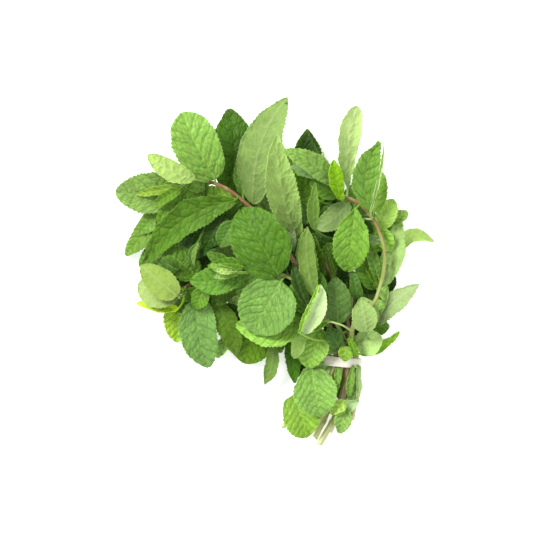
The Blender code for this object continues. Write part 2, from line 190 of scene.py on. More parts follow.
class Nodes:
    """Short names for the nodes of one material."""

    def __init__(self, name):
        self.mat = bpy.data.materials.new(name)
        self.mat.use_nodes = True
        self.tree = self.mat.node_tree
        self.shader = self.tree.nodes["Principled BSDF"]

    def add(self, kind, **settings):
        node = self.tree.nodes.new(kind)
        for key, value in settings.items():
            setattr(node, key, value)
        return node

    def link(self, a, b):
        self.tree.links.new(a, b)

    def read(self, name, output="Fac"):
        return self.add("ShaderNodeAttribute", attribute_name=name).outputs[output]

    def maths(self, operation, a, b):
        node = self.add("ShaderNodeMath", operation=operation)
        for socket, value in zip(node.inputs, (a, b)):
            if isinstance(value, (int, float)):
                socket.default_value = value
            else:
                self.link(value, socket)
        return node.outputs[0]

    def noise(self, vector, scale, detail=3.0, rough=0.55):
        node = self.add("ShaderNodeTexNoise")
        node.inputs["Scale"].default_value = scale
        node.inputs["Detail"].default_value = detail
        node.inputs["Roughness"].default_value = rough
        self.link(vector, node.inputs["Vector"])
        return node.outputs["Fac"]

    def cells(self, vector, scale):
        node = self.add("ShaderNodeTexVoronoi", feature="DISTANCE_TO_EDGE")
        node.inputs["Scale"].default_value = scale
        self.link(vector, node.inputs["Vector"])
        return node.outputs["Distance"]

    def ramp(self, value, stops):
        node = self.add("ShaderNodeValToRGB")
        ramp = node.color_ramp
        while len(ramp.elements) < len(stops):
            ramp.elements.new(0.5)
        for element, (place, colour) in zip(ramp.elements, stops):
            element.position = place
            element.color = (*colour, 1.0)
        self.link(value, node.inputs["Fac"])
        return node.outputs["Color"]

    def span(self, value, low, high, out_low=0.0, out_high=1.0):
        node = self.add("ShaderNodeMapRange", clamp=True)
        self.link(value, node.inputs["Value"])
        for key, number in zip(("From Min", "From Max", "To Min", "To Max"),
                               (low, high, out_low, out_high)):
            node.inputs[key].default_value = number
        return node.outputs["Result"]

    def mix(self, share, a, b):
        node = self.add("ShaderNodeMix", data_type="RGBA")
        colours = [s for s in node.inputs if s.type == "RGBA"]
        for socket, value in ((node.inputs[0], share), (colours[0], a), (colours[1], b)):
            if isinstance(value, (int, float)):
                socket.default_value = value
            elif isinstance(value, tuple):
                socket.default_value = (*value, 1.0)
            else:
                self.link(value, socket)
        return [s for s in node.outputs if s.type == "RGBA"][0]

    def scaled(self, vector, x, y, z):
        node = self.add("ShaderNodeVectorMath", operation="MULTIPLY")
        self.link(vector, node.inputs[0])
        node.inputs[1].default_value = (x, y, z)
        return node.outputs[0]

    def bump(self, height, strength, distance, normal=None):
        node = self.add("ShaderNodeBump")
        node.inputs["Strength"].default_value = strength
        node.inputs["Distance"].default_value = distance
        self.link(height, node.inputs["Height"])
        if normal is not None:
            self.link(normal, node.inputs["Normal"])
        return node.outputs["Normal"]

    def finish(self, colour, roughness, normal=None, **constants):
        self.link(colour, self.shader.inputs["Base Color"])
        self.link(roughness, self.shader.inputs["Roughness"])
        if normal is not None:
            self.link(normal, self.shader.inputs["Normal"])
        for key, value in constants.items():
            self.shader.inputs[key.replace("_", " ")].default_value = value
        return self.mat


def stem_skin():
    """Smooth skin in long streaks, green near the cut and the tip and red-brown between."""
    n = Nodes("stem_skin")
    place = n.read("stem_place", "Vector")
    red = n.read("stem_red")
    streaks = n.noise(n.scaled(place, 1.0, 0.05, 1.0), 1.6, 4.0, 0.6)
    blotch = n.noise(n.scaled(place, 0.25, 0.11, 1.0), 1.0, 3.0, 0.6)
    green = n.ramp(streaks, [(0.30, (0.18, 0.24, 0.025)), (0.52, (0.31, 0.37, 0.065)),
                             (0.72, (0.46, 0.50, 0.150))])
    brown = n.ramp(streaks, [(0.30, (0.12, 0.032, 0.014)), (0.52, (0.25, 0.090, 0.035)),
                             (0.74, (0.44, 0.27, 0.120))])
    share = n.maths("ADD", red, n.maths("MULTIPLY", n.maths("SUBTRACT", blotch, 0.5), 1.3))
    colour = n.mix(n.span(share, 0.28, 0.72, 0.0, 1.0), green, brown)
    colour = n.mix(n.read("stem_pale"), colour, (0.78, 0.80, 0.44))
    colour = n.mix(n.read("stem_joint"), colour, (0.36, 0.36, 0.09))
    rough = n.span(streaks, 0.3, 0.7, 0.34, 0.52)
    return n.finish(colour, rough, n.bump(streaks, 0.5, 0.00025), Specular_IOR_Level=0.5,
                    Subsurface_Weight=0.12, Subsurface_Scale=0.001)


def stem_cut():
    """The wet pith of a cut stem: pale, fibrous, with a greener ring at the skin."""
    n = Nodes("stem_cut")
    place = n.read("stem_place", "Vector")
    fibre = n.noise(n.scaled(place, 2.5, 2.5, 6.0), 1.3, 4.0, 0.7)
    rim = n.read("stem_rim")
    pith = n.ramp(fibre, [(0.32, (0.56, 0.57, 0.30)), (0.55, (0.76, 0.76, 0.50)),
                          (0.75, (0.86, 0.86, 0.66))])
    colour = n.mix(n.span(rim, 0.72, 1.0), pith, (0.36, 0.44, 0.14))
    rough = n.span(fibre, 0.3, 0.7, 0.35, 0.6)
    return n.finish(colour, rough, n.bump(fibre, 0.8, 0.0003), Specular_IOR_Level=0.5)


stem_mats = (stem_skin(), stem_cut())
stem_runs = {}


def make_stem(name, red, pale, seed):
    """Bends a fluted square tube along the run of a packed stem."""
    centres, radii = ring_centres(name)
    length = np.linalg.norm(np.diff(centres, axis=0), axis=1).sum()
    rings = int(length / STEP)
    path, length = smooth_run(centres, rings)
    ahead, side, up = frames_along(path)
    share = np.linspace(0.0, 1.0, rings)
    radius = np.interp(share, np.linspace(0.0, 1.0, len(radii)), radii)
    along = share * length
    joint = np.zeros(rings)
    at = 14.0 * MM + 3.0 * MM * math.sin(seed * 2.0)
    while at < length - 3.0 * MM:
        joint = np.maximum(joint, np.exp(-((along - at) / (1.5 * MM)) ** 2))
        at += JOINT_EVERY * (1.0 + 0.25 * math.sin(seed * 3.3 + at / (20.0 * MM)))
    joint = np.maximum(joint, 0.8 * np.exp(-((along - length) / (2.0 * MM)) ** 2))
    tube = tube_object(name + "_stem", rings, SIDE_POINTS)
    flat = points_of(tube.data)
    ring = np.clip(np.round(flat[:, 2] * (rings - 1)).astype(int), 0, rings - 1)
    turn = np.arctan2(flat[:, 1], flat[:, 0])
    reach = np.hypot(flat[:, 0], flat[:, 1])
    corner = turn + EIGHTH_TURN
    square = 1.0 / (np.abs(np.cos(corner)) ** 3.2 + np.abs(np.sin(corner)) ** 3.2) ** (1 / 3.2)
    fluted = (square / 1.07) * (1.0 - GROOVE * np.cos(4.0 * corner) ** 2 * (np.cos(4.0 * corner) > 0))
    slim = np.interp(along / MM, (0.0, 25.0, 60.0), (0.96, 0.84, SLIM))
    swelling = 1.0 + 0.24 * joint[ring] + 0.03 * wobble(along[ring] / MM, seed, 5.0)
    size = slim[ring] * radius[ring] * fluted * swelling
    twist = turn + 0.5 * wobble(along[ring] / MM, seed + 5.0, 60.0)
    outward = (side[ring] * np.cos(twist)[:, None] + up[ring] * np.sin(twist)[:, None])
    slant = np.where(ring == 0, 0.35 * np.cos(turn - seed) * reach * radius[ring], 0.0)
    points = path[ring] + outward * (size * reach)[:, None] - ahead[ring] * slant[:, None]
    set_points(tube.data, points)
    give(tube.data, "stem_place", "FLOAT_VECTOR",
         np.stack([turn * 2.0, along[ring] / MM, np.full(len(turn), seed * 3.7)], axis=1))
    give(tube.data, "stem_rim", "FLOAT", reach)
    give(tube.data, "stem_joint", "FLOAT", joint[ring] * 0.55)
    low, neck, middle, top = red
    reddish = np.interp(share, (0.0, 0.12, 0.22, 0.42, 0.75, 0.92, 1.0),
                        (low * 0.3, low, neck, middle, middle, top, top * 0.6))
    give(tube.data, "stem_red", "FLOAT", reddish[ring])
    give(tube.data, "stem_pale", "FLOAT",
         np.interp(share, (0.0, 0.05, 0.2, 1.0), (0.9, 0.6 * pale, 0.25 * pale, 0.0))[ring])
    for mat in stem_mats:
        tube.data.materials.append(mat)
    mesh = tube.data
    for face in mesh.polygons:
        ends = {ring[i] for i in face.vertices}
        face.material_index = 1 if ends == {0} or ends == {rings - 1} else 0
        face.use_smooth = face.material_index == 0
    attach(tube, "root")
    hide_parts(name)
    stem_runs[name] = path
    return tube


# Name, how red it is (near the cut, at the neck, in the middle, at the top), how pale the cut is.
for seed, (name, red, pale) in enumerate([
        ("stem_1", (0.25, 0.60, 0.95, 0.95), 1.0), ("stem_2", (0.20, 0.50, 0.90, 0.90), 1.0),
        ("stem_3", (0.10, 0.10, 0.25, 0.20), 1.0), ("stem_4", (0.30, 0.95, 0.25, 0.85), 0.8),
        ("stem_5", (0.10, 0.20, 0.30, 0.30), 1.0), ("stem_6", (0.10, 0.20, 0.35, 0.35), 1.0),
        ("stem_7", (0.20, 0.40, 0.95, 0.95), 0.9), ("stem_8", (0.05, 0.10, 0.15, 0.15), 1.0)]):
    make_stem(name, red, pale, seed + 1.0)

# ------------------------------------------------------------
# The rubber band: a flat strip of cream rubber, moulded as a loop and stretched round the neck
# of the bunch. The stretch leaves it slightly rippled along its length, with worn, uneven edges.

BAND_STRIP = 6.35 * MM
BAND_THICK = 0.9 * MM
BAND_TILT = math.radians(-5.0)
BAND_STEPS = 220
BAND_POINTS = 26


def band_rubber():
    """Cream rubber with fine creases that run round the loop and a dusty, matt surface."""
    n = Nodes("band_rubber")
    place = n.read("band_place", "Vector")
    creases = n.noise(n.scaled(place, 0.10, 2.6, 1.0), 1.0, 5.0, 0.65)
    dust = n.noise(place, 0.8, 4.0, 0.6)
    colour = n.ramp(creases, [(0.30, (0.86, 0.79, 0.60)), (0.50, (0.96, 0.91, 0.75)),
                              (0.72, (0.98, 0.95, 0.84))])
    colour = n.mix(n.span(dust, 0.42, 0.75, 0.0, 0.30), colour, (0.80, 0.76, 0.62))
    rough = n.span(dust, 0.3, 0.7, 0.55, 0.8)
    return n.finish(colour, rough, n.bump(creases, 0.9, 0.0004), Specular_IOR_Level=0.4,
                    Subsurface_Weight=0.15, Subsurface_Scale=0.001)


low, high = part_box("band")
band_centre = (np.array(low) + np.array(high)) / 2.0
band_half_wide = (high.x - low.x) / 2.0 / math.cos(BAND_TILT) - 0.25 * MM
band_half_tall = (high.z - low.z) / 2.0
across = np.array([math.cos(BAND_TILT), math.sin(BAND_TILT), 0.0])
forward = np.array([-math.sin(BAND_TILT), math.cos(BAND_TILT), 0.0])

bpy.ops.mesh.primitive_torus_add(major_segments=BAND_STEPS, minor_segments=BAND_POINTS,
                                 major_radius=1.0, minor_radius=0.1)
band = bpy.context.object
band.name = "rubber_band"
flat = points_of(band.data)
turn = np.arctan2(flat[:, 1], flat[:, 0])
inner = np.arctan2(flat[:, 2], np.hypot(flat[:, 0], flat[:, 1]) - 1.0)
bulge = 1.0 / (np.abs(np.cos(inner)) ** 5 + np.abs(np.sin(inner)) ** 5) ** 0.2
ripple = 0.10 * wobble(turn, 3.0, 0.21) + 0.06 * wobble(turn, 8.0, 0.07)
strip_x = np.sin(inner) * bulge * (0.5 * BAND_STRIP * (1.0 + 0.05 * wobble(turn, 1.0, 0.35)))
strip_x += 0.35 * MM * wobble(turn, 6.0, 0.8)
strip_r = np.cos(inner) * bulge * BAND_THICK * 0.5
strip_r += 0.13 * MM * np.sin(strip_x / (0.55 * MM) + 2.0 * wobble(turn, 2.0, 0.5)) * (np.cos(inner) > 0)
strip_r += ripple * MM
round_x = np.sign(np.cos(turn)) * np.abs(np.cos(turn)) ** 0.86
round_z = np.sign(np.sin(turn)) * np.abs(np.sin(turn)) ** 0.86
points = (band_centre
          + across * ((band_half_wide - 0.5 * BAND_THICK + strip_r) * round_x)[:, None]
          + np.array([0.0, 0.0, 1.0]) * ((band_half_tall - 0.5 * BAND_THICK + strip_r) * round_z)[:, None]
          + forward * strip_x[:, None])
set_points(band.data, points)
face_outward(band)
give(band.data, "band_place", "FLOAT_VECTOR",
     np.stack([turn * 11.0, strip_x / MM, strip_r / MM], axis=1))
band.data.materials.append(band_rubber())
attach(band, "root")
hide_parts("band")

# ------------------------------------------------------------
# Leaves of the stem in front, the largest and nearest, and its shoot tip. A mint leaf is a thin
# soft blade with a toothed edge, held by its own stalk. The veins are sunk into the upper side,
# with the blade puckered between them, and stand out pale on the underside.

BLADE = 0.34 * MM
TOOTH = 2.7                 # distance between two teeth, in millimetres
TOOTH_DEPTH = 0.75
TOOTH_BACK = 0.78           # share of a tooth taken by its long side
GRID_ALONG = 0.42           # size of one face of a blade, in millimetres
GRID_ACROSS = 0.50
SMALL_COARSE = 1.35         # how much larger the faces of a small leaf are
STALK_RINGS = 22
STALK_SIDES = 8
CELL = 2.8                  # size of one pucker of the blade, in millimetres
SIDE_VEINS = 6.0            # side veins down one half of a blade
OUTLINES = {
    "oval": (0.44, 0.50, 2.2, 0.74),
    "round": (0.48, 0.48, 2.4, 0.62),
    "long": (0.42, 0.60, 2.0, 0.85),
    "spoon": (0.62, 0.80, 2.4, 0.60),
}
# The leaf sizes below count from the middle of the rubber band.
ORIGIN = band_centre[:2] / MM - np.array([43.6, -58.5])


def blade_width(u, outline):
    """Half-width of a blade as a share of its greatest, at u from 0 at the base to 1 at the tip."""
    widest, base_power, tip_power, blunt = OUTLINES[outline]
    low_part = np.clip(u / widest, 0.0, 1.0)
    high_part = np.clip((u - widest) / (1.0 - widest), 0.0, 1.0)
    below = np.clip(1.0 - (1.0 - low_part) ** 2, 0.0, 1.0) ** base_power
    above = np.clip(1.0 - high_part ** tip_power, 0.0, 1.0) ** blunt
    return np.where(u < widest, below, above)


class Blade:
    """The plan of one leaf, in millimetres, with its heights."""

    def __init__(self, base, tip, width, bow, outline):
        self.base = np.array(base[:2], float) + ORIGIN
        self.tip = np.array(tip, float) + ORIGIN
        self.length = np.linalg.norm(self.tip - self.base)
        self.ahead = (self.tip - self.base) / self.length
        self.left = np.array([-self.ahead[1], self.ahead[0]])
        self.width, self.bow, self.outline = width, bow, outline

    def half(self, u):
        return (0.5 * self.width * blade_width(u, self.outline)
                + 0.7 * np.clip(1.0 - u * 8.0, 0.0, 1.0))

    def read_heights(self, node):
        """Finds the lift, slope, arch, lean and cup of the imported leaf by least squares."""
        points = solid_points(node) / MM
        away = points[:, :2] - self.base
        u = away @ self.ahead / self.length
        hump = 4.0 * np.clip(u, 0.0, 1.0) * (1.0 - u)
        half = self.half(np.clip(u, 0.0, 1.0))
        side = away @ self.left - self.bow * hump
        v = np.clip(side / half, -1.0, 1.0)
        terms = np.stack([np.ones_like(u), u, hump, side, 2.0 * half / self.width * v ** 2], axis=1)
        keep = u > -0.01
        self.heights = np.linalg.lstsq(terms[keep], points[keep, 2], rcond=None)[0]
        return self

    def set_heights(self, height, rise, arch, lean, cup):
        self.heights = np.array([height, rise, arch, math.tan(math.radians(lean)), cup])
        return self

    def trim(self, fuller, longer, shift):
        """Fills out the soft blade a little beyond its solid, and moves it by a few millimetres."""
        self.width *= fuller
        self.length *= longer
        self.base = self.base + shift

    def points(self, u, v, squeeze=0.0):
        """The blade's middle surface, with its edge drawn in by squeeze millimetres."""
        hump = 4.0 * np.clip(u, 0.0, 1.0) * (1.0 - u)
        half = np.maximum(self.half(u) - squeeze, 0.12)
        side = self.bow * hump + v * half
        lift, rise, arch, lean, cup = self.heights
        plan = (self.base + self.ahead * (self.length * u)[..., None] + self.left * side[..., None])
        z = (lift + rise * u + arch * hump + lean * v * half
             + cup * (2.0 * half / self.width) * v ** 2)
        return np.concatenate([plan, z[..., None]], axis=-1), v * half


def pucker_pattern(along, out, blade, seed):
    """Distances in mm to the nearest side vein and to the nearest edge of a pucker."""
    spacing = max(blade.length / SIDE_VEINS, 3.4)
    reach = np.abs(out)
    bend = (along - 0.50 * reach - 0.034 * reach ** 2 + 0.70 * np.sin(0.5 * reach + seed)
            + 0.60 * np.sin(0.33 * along + 2.0 * seed))
    place = bend / spacing + np.where(out > 0, 0.0, 0.45)
    inside = place - np.floor(place)
    to_vein = np.minimum(inside, 1.0 - inside) * spacing * 0.8
    to_edge = np.zeros_like(along)
    random = np.random.default_rng(int(seed * 100))
    for half in (out > 0, out <= 0):
        seeds = []
        for k in range(int(place.min()) - 1, int(place.max()) + 2):
            slip = random.uniform(-0.5, 0.5)
            for row, start in ((0.26, 0.3), (0.74, 0.8)):
                for step in np.arange(start, blade.width * 0.56 / CELL + 1.0):
                    seeds.append((k + row + random.uniform(-0.24, 0.24),
                                  step + slip + random.uniform(-0.50, 0.50)))
        seeds = np.array(seeds) * (spacing * 0.8, CELL)
        here = np.stack([place[half] * spacing * 0.8, reach[half]], axis=1)
        gaps = ((here[:, None, :] - seeds[None, :, :]) ** 2).sum(axis=2)
        nearest = np.sqrt(np.partition(gaps, 1, axis=1)[:, :2])
        to_edge[half] = nearest[:, 1] - nearest[:, 0]
    return to_vein, to_edge


def tinted(n, base, shade, lift, add):
    """A leaf's own colour in shade, and the brighter colour of its veins."""
    grey = n.add("ShaderNodeCombineXYZ")
    for socket in grey.inputs:
        n.link(shade, socket)
    tone = n.add("ShaderNodeVectorMath", operation="MULTIPLY")
    n.link(base, tone.inputs[0])
    n.link(grey.outputs[0], tone.inputs[1])
    bright = n.add("ShaderNodeVectorMath", operation="MULTIPLY_ADD")
    n.link(base, bright.inputs[0])
    bright.inputs[1].default_value = lift
    bright.inputs[2].default_value = add
    return tone.outputs[0], bright.outputs[0]


def blade_readings(n):
    """Place on the blade, distances to vein, pucker edge, margin and midrib, and broad patches."""
    place = n.read("leaf_place", "Vector")
    parts = n.add("ShaderNodeSeparateXYZ")
    n.link(n.read("leaf_far", "Vector"), parts.inputs[0])
    to_vein, to_edge, to_margin = parts.outputs
    across = n.add("ShaderNodeSeparateXYZ")
    n.link(place, across.inputs[0])
    to_rib = n.maths("ABSOLUTE", across.outputs[1], 0.0)
    patches = n.noise(place, 0.10, 3.0, 0.6)
    return place, to_vein, to_edge, to_margin, to_rib, patches


def leaf_upper():
    """Upper side: green, paler puckers with painted shade in the creases, a pale midrib, a waxy sheen."""
    n = Nodes("leaf_upper")
    place, to_vein, to_edge, to_margin, to_rib, patches = blade_readings(n)
    grain = n.noise(place, 1.5, 4.0, 0.65)
    net = n.cells(place, 1.1)
    # Painted shade: the colour darkens at the pucker edges and by the sunken side veins, where the creases
    # lie.
    shade = n.maths("MULTIPLY", n.span(to_edge, 0.0, 0.7, 0.76, 1.04),
                    n.span(to_vein, 0.1, 0.9, 0.70, 1.04))
    shade = n.maths("MULTIPLY", shade, n.span(patches, 0.3, 0.7, 0.84, 1.20))
    shade = n.maths("MULTIPLY", shade, n.span(grain, 0.3, 0.7, 0.88, 1.12))
    # Painted shade along the fine net of cells.
    shade = n.maths("MULTIPLY", shade, n.span(net, 0.0, 0.12, 0.88, 1.0))
    tone, bright = tinted(n, n.read("leaf_top_colour", "Vector"), shade, (1.2, 1.12, 1.0),
                          (0.030, 0.045, 0.010))
    colour = n.mix(n.span(to_vein, 0.08, 0.30, 0.42, 0.0), tone, bright)
    rib = n.maths("MULTIPLY", n.span(to_rib, 0.28, 0.75, 1.0, 0.0),
                  n.span(n.read("leaf_share"), 0.0, 0.9, 0.9, 0.25))
    colour = n.mix(rib, colour, bright)
    colour = n.mix(n.span(to_margin, 0.15, 0.50, 0.55, 0.0), colour, bright)
    rough = n.maths("ADD", n.span(grain, 0.3, 0.7, 0.32, 0.46), n.span(to_edge, 0.0, 1.2, 0.10, 0.0))
    normal = n.bump(n.span(to_edge, 0.0, 0.7), 0.55, 0.00020)
    normal = n.bump(net, 0.35, 0.00020, normal)
    normal = n.bump(grain, 0.45, 0.00022, normal)
    return n.finish(colour, rough, normal, Specular_IOR_Level=0.20, Subsurface_Weight=0.05,
                    Subsurface_Scale=0.001)


def leaf_underside():
    """Underside: paler, matt and downy, with the midrib, side veins and a fine net standing out."""
    n = Nodes("leaf_underside")
    place, to_vein, to_edge, to_margin, to_rib, patches = blade_readings(n)
    grain = n.noise(place, 2.0, 4.0, 0.7)
    net = n.cells(place, 0.95)
    shade = n.maths("MULTIPLY", n.span(patches, 0.3, 0.7, 0.86, 1.14), n.span(grain, 0.3, 0.7, 0.88, 1.10))
    shade = n.maths("MULTIPLY", shade, n.span(to_edge, 0.2, 1.6, 1.03, 0.95))
    shade = n.maths("MULTIPLY", shade, n.span(net, 0.0, 0.14, 1.10, 0.96))
    tone, bright = tinted(n, n.read("leaf_low_colour", "Vector"), shade, (1.05, 1.02, 1.1),
                          (0.05, 0.05, 0.035))
    colour = n.mix(n.span(to_edge, 0.06, 0.34, 0.14, 0.0), tone, bright)
    colour = n.mix(n.span(to_vein, 0.12, 0.40, 0.35, 0.0), colour, bright)
    colour = n.mix(n.span(to_rib, 0.35, 0.80, 0.90, 0.0), colour, bright)
    colour = n.mix(n.span(to_margin, 0.15, 0.50, 0.4, 0.0), colour, bright)
    rough = n.span(grain, 0.3, 0.7, 0.58, 0.78)
    normal = n.bump(n.span(to_edge, 0.0, 0.6, 1.0, 0.0), 0.6, 0.00022)
    normal = n.bump(n.span(net, 0.0, 0.15, 1.0, 0.0), 0.4, 0.00015, normal)
    normal = n.bump(grain, 0.5, 0.0002, normal)
    return n.finish(colour, rough, normal, Specular_IOR_Level=0.15, Subsurface_Weight=0.06,
                    Subsurface_Scale=0.001, Sheen_Weight=0.06, Sheen_Roughness=0.5)


leaf_mats = (leaf_upper(), leaf_underside())
leaf_count = 0


def stalk_run(blade, stem):
    """Points of a leaf stalk, from inside the blade's base back and down to its stem."""
    line, _ = blade.points(np.array([0.10, 0.04, 0.0]), np.zeros(3))
    root = line[2]
    heading = root - line[1]
    heading /= np.linalg.norm(heading)
    path = stem_runs[stem] / MM
    nearest = np.linalg.norm(path - root, axis=1).argmin()
    gap = np.linalg.norm(path[nearest] - root)
    target = path[max(nearest - int(0.35 * gap / (STEP / MM)), 2)]
    middle = root * 0.5 + target * 0.5 + heading * gap * 0.15
    return np.array([line[0] - [0, 0, 0.25], line[1] - [0, 0, 0.15], root, middle, target])


def grow_stalk(name, run, colour, mats):
    """A leaf stalk: a thin pale-green rod that widens where it joins the stem."""
    path, length = smooth_run(run, STALK_RINGS)
    _, side, up = frames_along(path)
    tube = tube_object(name + "_stalk", STALK_RINGS, STALK_SIDES)
    flat = points_of(tube.data)
    last = STALK_RINGS - 1
    ring = np.clip(np.round(flat[:, 2] * last).astype(int), 0, last)
    share = ring / last
    turn = np.arctan2(flat[:, 1], flat[:, 0])
    reach = np.hypot(flat[:, 0], flat[:, 1])
    size = np.interp(share, (0.0, 0.25, 0.8, 1.0), (0.30, 0.62, 0.70, 0.95))
    points = path[ring] + (side[ring] * np.cos(turn)[:, None]
                           + up[ring] * np.sin(turn)[:, None]) * (size * reach)[:, None]
    set_points(tube.data, points * MM)
    face_outward(tube)
    count = len(flat)
    give(tube.data, "leaf_place", "FLOAT_VECTOR",
         np.stack([share * length, 4.0 + turn, np.full(count, 3.0)], axis=1))
    give(tube.data, "leaf_far", "FLOAT_VECTOR", np.full((count, 3), 3.0))
    give(tube.data, "leaf_share", "FLOAT", share)
    pale = np.array(colour) * 0.8 + np.array([0.035, 0.055, 0.008])
    give(tube.data, "leaf_top_colour", "FLOAT_VECTOR", np.tile(pale, (count, 1)))
    give(tube.data, "leaf_low_colour", "FLOAT_VECTOR", np.tile(pale, (count, 1)))
    for mat in mats:
        tube.data.materials.append(mat)
    return tube


def grow_blade(name, blade, face, colour, pucker, wave, coarse=1.0):
    """Shapes a flat grid into one leaf blade, gives it its thickness and stores its patterns."""
    global leaf_count
    leaf_count += 1
    seed = leaf_count * 1.37
    rows = max(int(blade.length / (GRID_ALONG * coarse)), 30)
    cols = max(int(blade.width / (GRID_ACROSS * coarse)) // 2 * 2, 12)
    bpy.ops.mesh.primitive_grid_add(x_subdivisions=rows, y_subdivisions=cols, size=2.0)
    leaf = bpy.context.object
    leaf.name = name
    leaf.data.name = name
    flat = points_of(leaf.data)
    u = (flat[:, 0] + 1.0) / 2.0
    v = flat[:, 1]
    phase = np.where(v > 0, 0.0, 0.5) + 0.25 * np.sin(u * 15.0 + seed)
    saw = (u * blade.length / TOOTH + phase) % 1.0
    ends = np.clip(u * 7.0, 0, 1) * np.clip((1 - u) * 14, 0, 1)
    depth = TOOTH_DEPTH * np.clip(blade.width / 18.0, 0.5, 1.0) * (0.85 + 0.3 * np.sin(u * 9 + seed * 2))
    tooth = np.where(saw < TOOTH_BACK, 0.5 + 0.5 * np.cos(np.pi * saw / TOOTH_BACK),
                     0.5 - 0.5 * np.cos(np.pi * (saw - TOOTH_BACK) / (1.0 - TOOTH_BACK)))
    notch = depth * tooth * np.abs(v) ** 4 * ends
    notch += 0.7 * wobble(u * blade.length + 40.0 * (v > 0), seed, 7.0) * np.abs(v) ** 2 * ends
    middle, out = blade.points(u, v, notch)
    along = u * blade.length
    half = np.maximum(blade.half(u) - notch, 0.12)
    to_vein, to_edge = pucker_pattern(along, out, blade, seed)
    to_margin = (1.0 - np.abs(v)) * half
    near_edge = np.clip(to_margin / 1.5, 0.0, 1.0)
    dome = 0.50 * np.sin(np.clip(to_vein / (0.05 * blade.length + 0.6), 0, 1) * np.pi / 2)
    dome += 0.40 * np.sin(np.clip(to_edge / 2.2, 0.0, 1.0) * np.pi / 2)
    trough = np.exp(-(out / 1.5) ** 2)
    relief = pucker * (dome * (0.25 + 0.75 * near_edge) - 0.55 * trough)
    ripple = wave * np.abs(v) ** 2.2 * wobble(along + 31.0 * (v > 0), seed * 3.1, 4.2)
    ripple -= wave * 0.6 * np.clip((u - 0.72) / 0.28, 0.0, 1.0) ** 2 * (blade.length / 30.0)
    order = np.lexsort((v, u))
    ordered = middle[order].reshape(rows + 1, cols + 1, 3)
    cross = np.cross(np.gradient(ordered, axis=0), np.gradient(ordered, axis=1))
    cross /= np.linalg.norm(cross, axis=-1, keepdims=True) + 1e-9
    cross[cross[..., 2] < 0] *= -1.0
    normal = np.zeros_like(middle)
    normal[order] = cross.reshape(-1, 3)
    set_points(leaf.data, (middle + normal * (face * relief + ripple)[:, None]) * MM)
    give(leaf.data, "leaf_place", "FLOAT_VECTOR",
         np.stack([along, out, np.full(len(u), seed * 7.0)], axis=1))
    give(leaf.data, "leaf_far", "FLOAT_VECTOR", np.stack([to_vein, to_edge, to_margin], axis=1))
    give(leaf.data, "leaf_share", "FLOAT", u)
    colour = np.array(colour)
    upper = colour if face > 0 else colour * (0.45, 0.58, 0.25)
    lower = colour if face < 0 else colour * 0.75 + (0.09, 0.11, 0.05)
    fade = 1.0 + 0.12 * (u - 0.5) - 0.10 * np.exp(-(out / (0.25 * blade.width)) ** 2)
    give(leaf.data, "leaf_top_colour", "FLOAT_VECTOR", upper * fade[:, None])
    give(leaf.data, "leaf_low_colour", "FLOAT_VECTOR", lower * fade[:, None])
    for mat in leaf_mats[::face]:
        leaf.data.materials.append(mat)
    shell = leaf.modifiers.new("blade", "SOLIDIFY")
    shell.thickness = BLADE
    shell.offset = 0.0
    shell.material_offset = 1
    shell.material_offset_rim = 0
    bpy.ops.object.modifier_apply(modifier=shell.name)
    leaf.data.shade_smooth()
    return leaf


def join_pieces(main, other):
    bpy.ops.object.select_all(action="DESELECT")
    other.select_set(True)
    main.select_set(True)
    bpy.context.view_layer.objects.active = main
    bpy.ops.object.join()
    bpy.ops.object.select_all(action="DESELECT")


def grow_leaf(name, stem, base, tip, width, bow, outline, face, colour, pucker=1.0, wave=0.7,
              fuller=1.0, longer=1.0, shift=(0.0, 0.0), reshape=None):
    """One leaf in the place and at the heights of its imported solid, with its stalk to the stem."""
    blade = Blade(base, tip, width, bow, outline).read_heights(name)
    blade.trim(fuller, longer, shift)
    blade.outline = reshape or outline
    leaf = grow_blade(name + "_blade", blade, face, colour, pucker, wave)
    join_pieces(leaf, grow_stalk(name, stalk_run(blade, stem), colour, leaf.data.materials))
    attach(leaf, "root")
    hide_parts(name)
    return leaf


def bare_stalk(name, run, colour):
    """A leaf stalk whose leaf lies out of sight between its neighbours."""
    stalk = grow_stalk(name, np.array(run) + (*ORIGIN, 0.0), colour, leaf_mats)
    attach(stalk, "root")


SHEET_ROWS = 12
SHEET_COLS = 5
SHEET_HALF = 0.7            # room kept above and below a blade
SETTLE_REACH = 9.0          # how far up or down a small leaf may move to lie free
SETTLE_STEP = 0.6
TABLE_SLACK = 0.2           # a blade may sag this far into the table


def sheets(blade):
    """Two coarse copies of a blade, just above and just below it, to test for room around it."""
    u, v = np.meshgrid(np.linspace(0.02, 0.985, SHEET_ROWS), np.linspace(-0.95, 0.95, SHEET_COLS),
                       indexing="ij")
    middle, _ = blade.points(u.ravel(), v.ravel())
    corners = [r * SHEET_COLS + c for r in range(SHEET_ROWS - 1) for c in range(SHEET_COLS - 1)]
    quads = [(k, k + 1, k + 1 + SHEET_COLS, k + SHEET_COLS) for k in corners]
    both = np.concatenate([middle + (0, 0, SHEET_HALF), middle - (0, 0, SHEET_HALF)])
    return both, quads + [tuple(i + len(middle) for i in quad) for quad in quads]


def claim(points, faces):
    """Marks a place as taken."""
    taken.append((points.min(axis=0), points.max(axis=0), BVHTree.FromPolygons(points.tolist(), faces)))


taken = []
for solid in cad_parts.values():
    if solid.type == "MESH" and len(solid.data.vertices):
        claim(np.array([v.co[:] for v in solid.data.vertices]) / MM,
              [tuple(face.vertices) for face in solid.data.polygons])


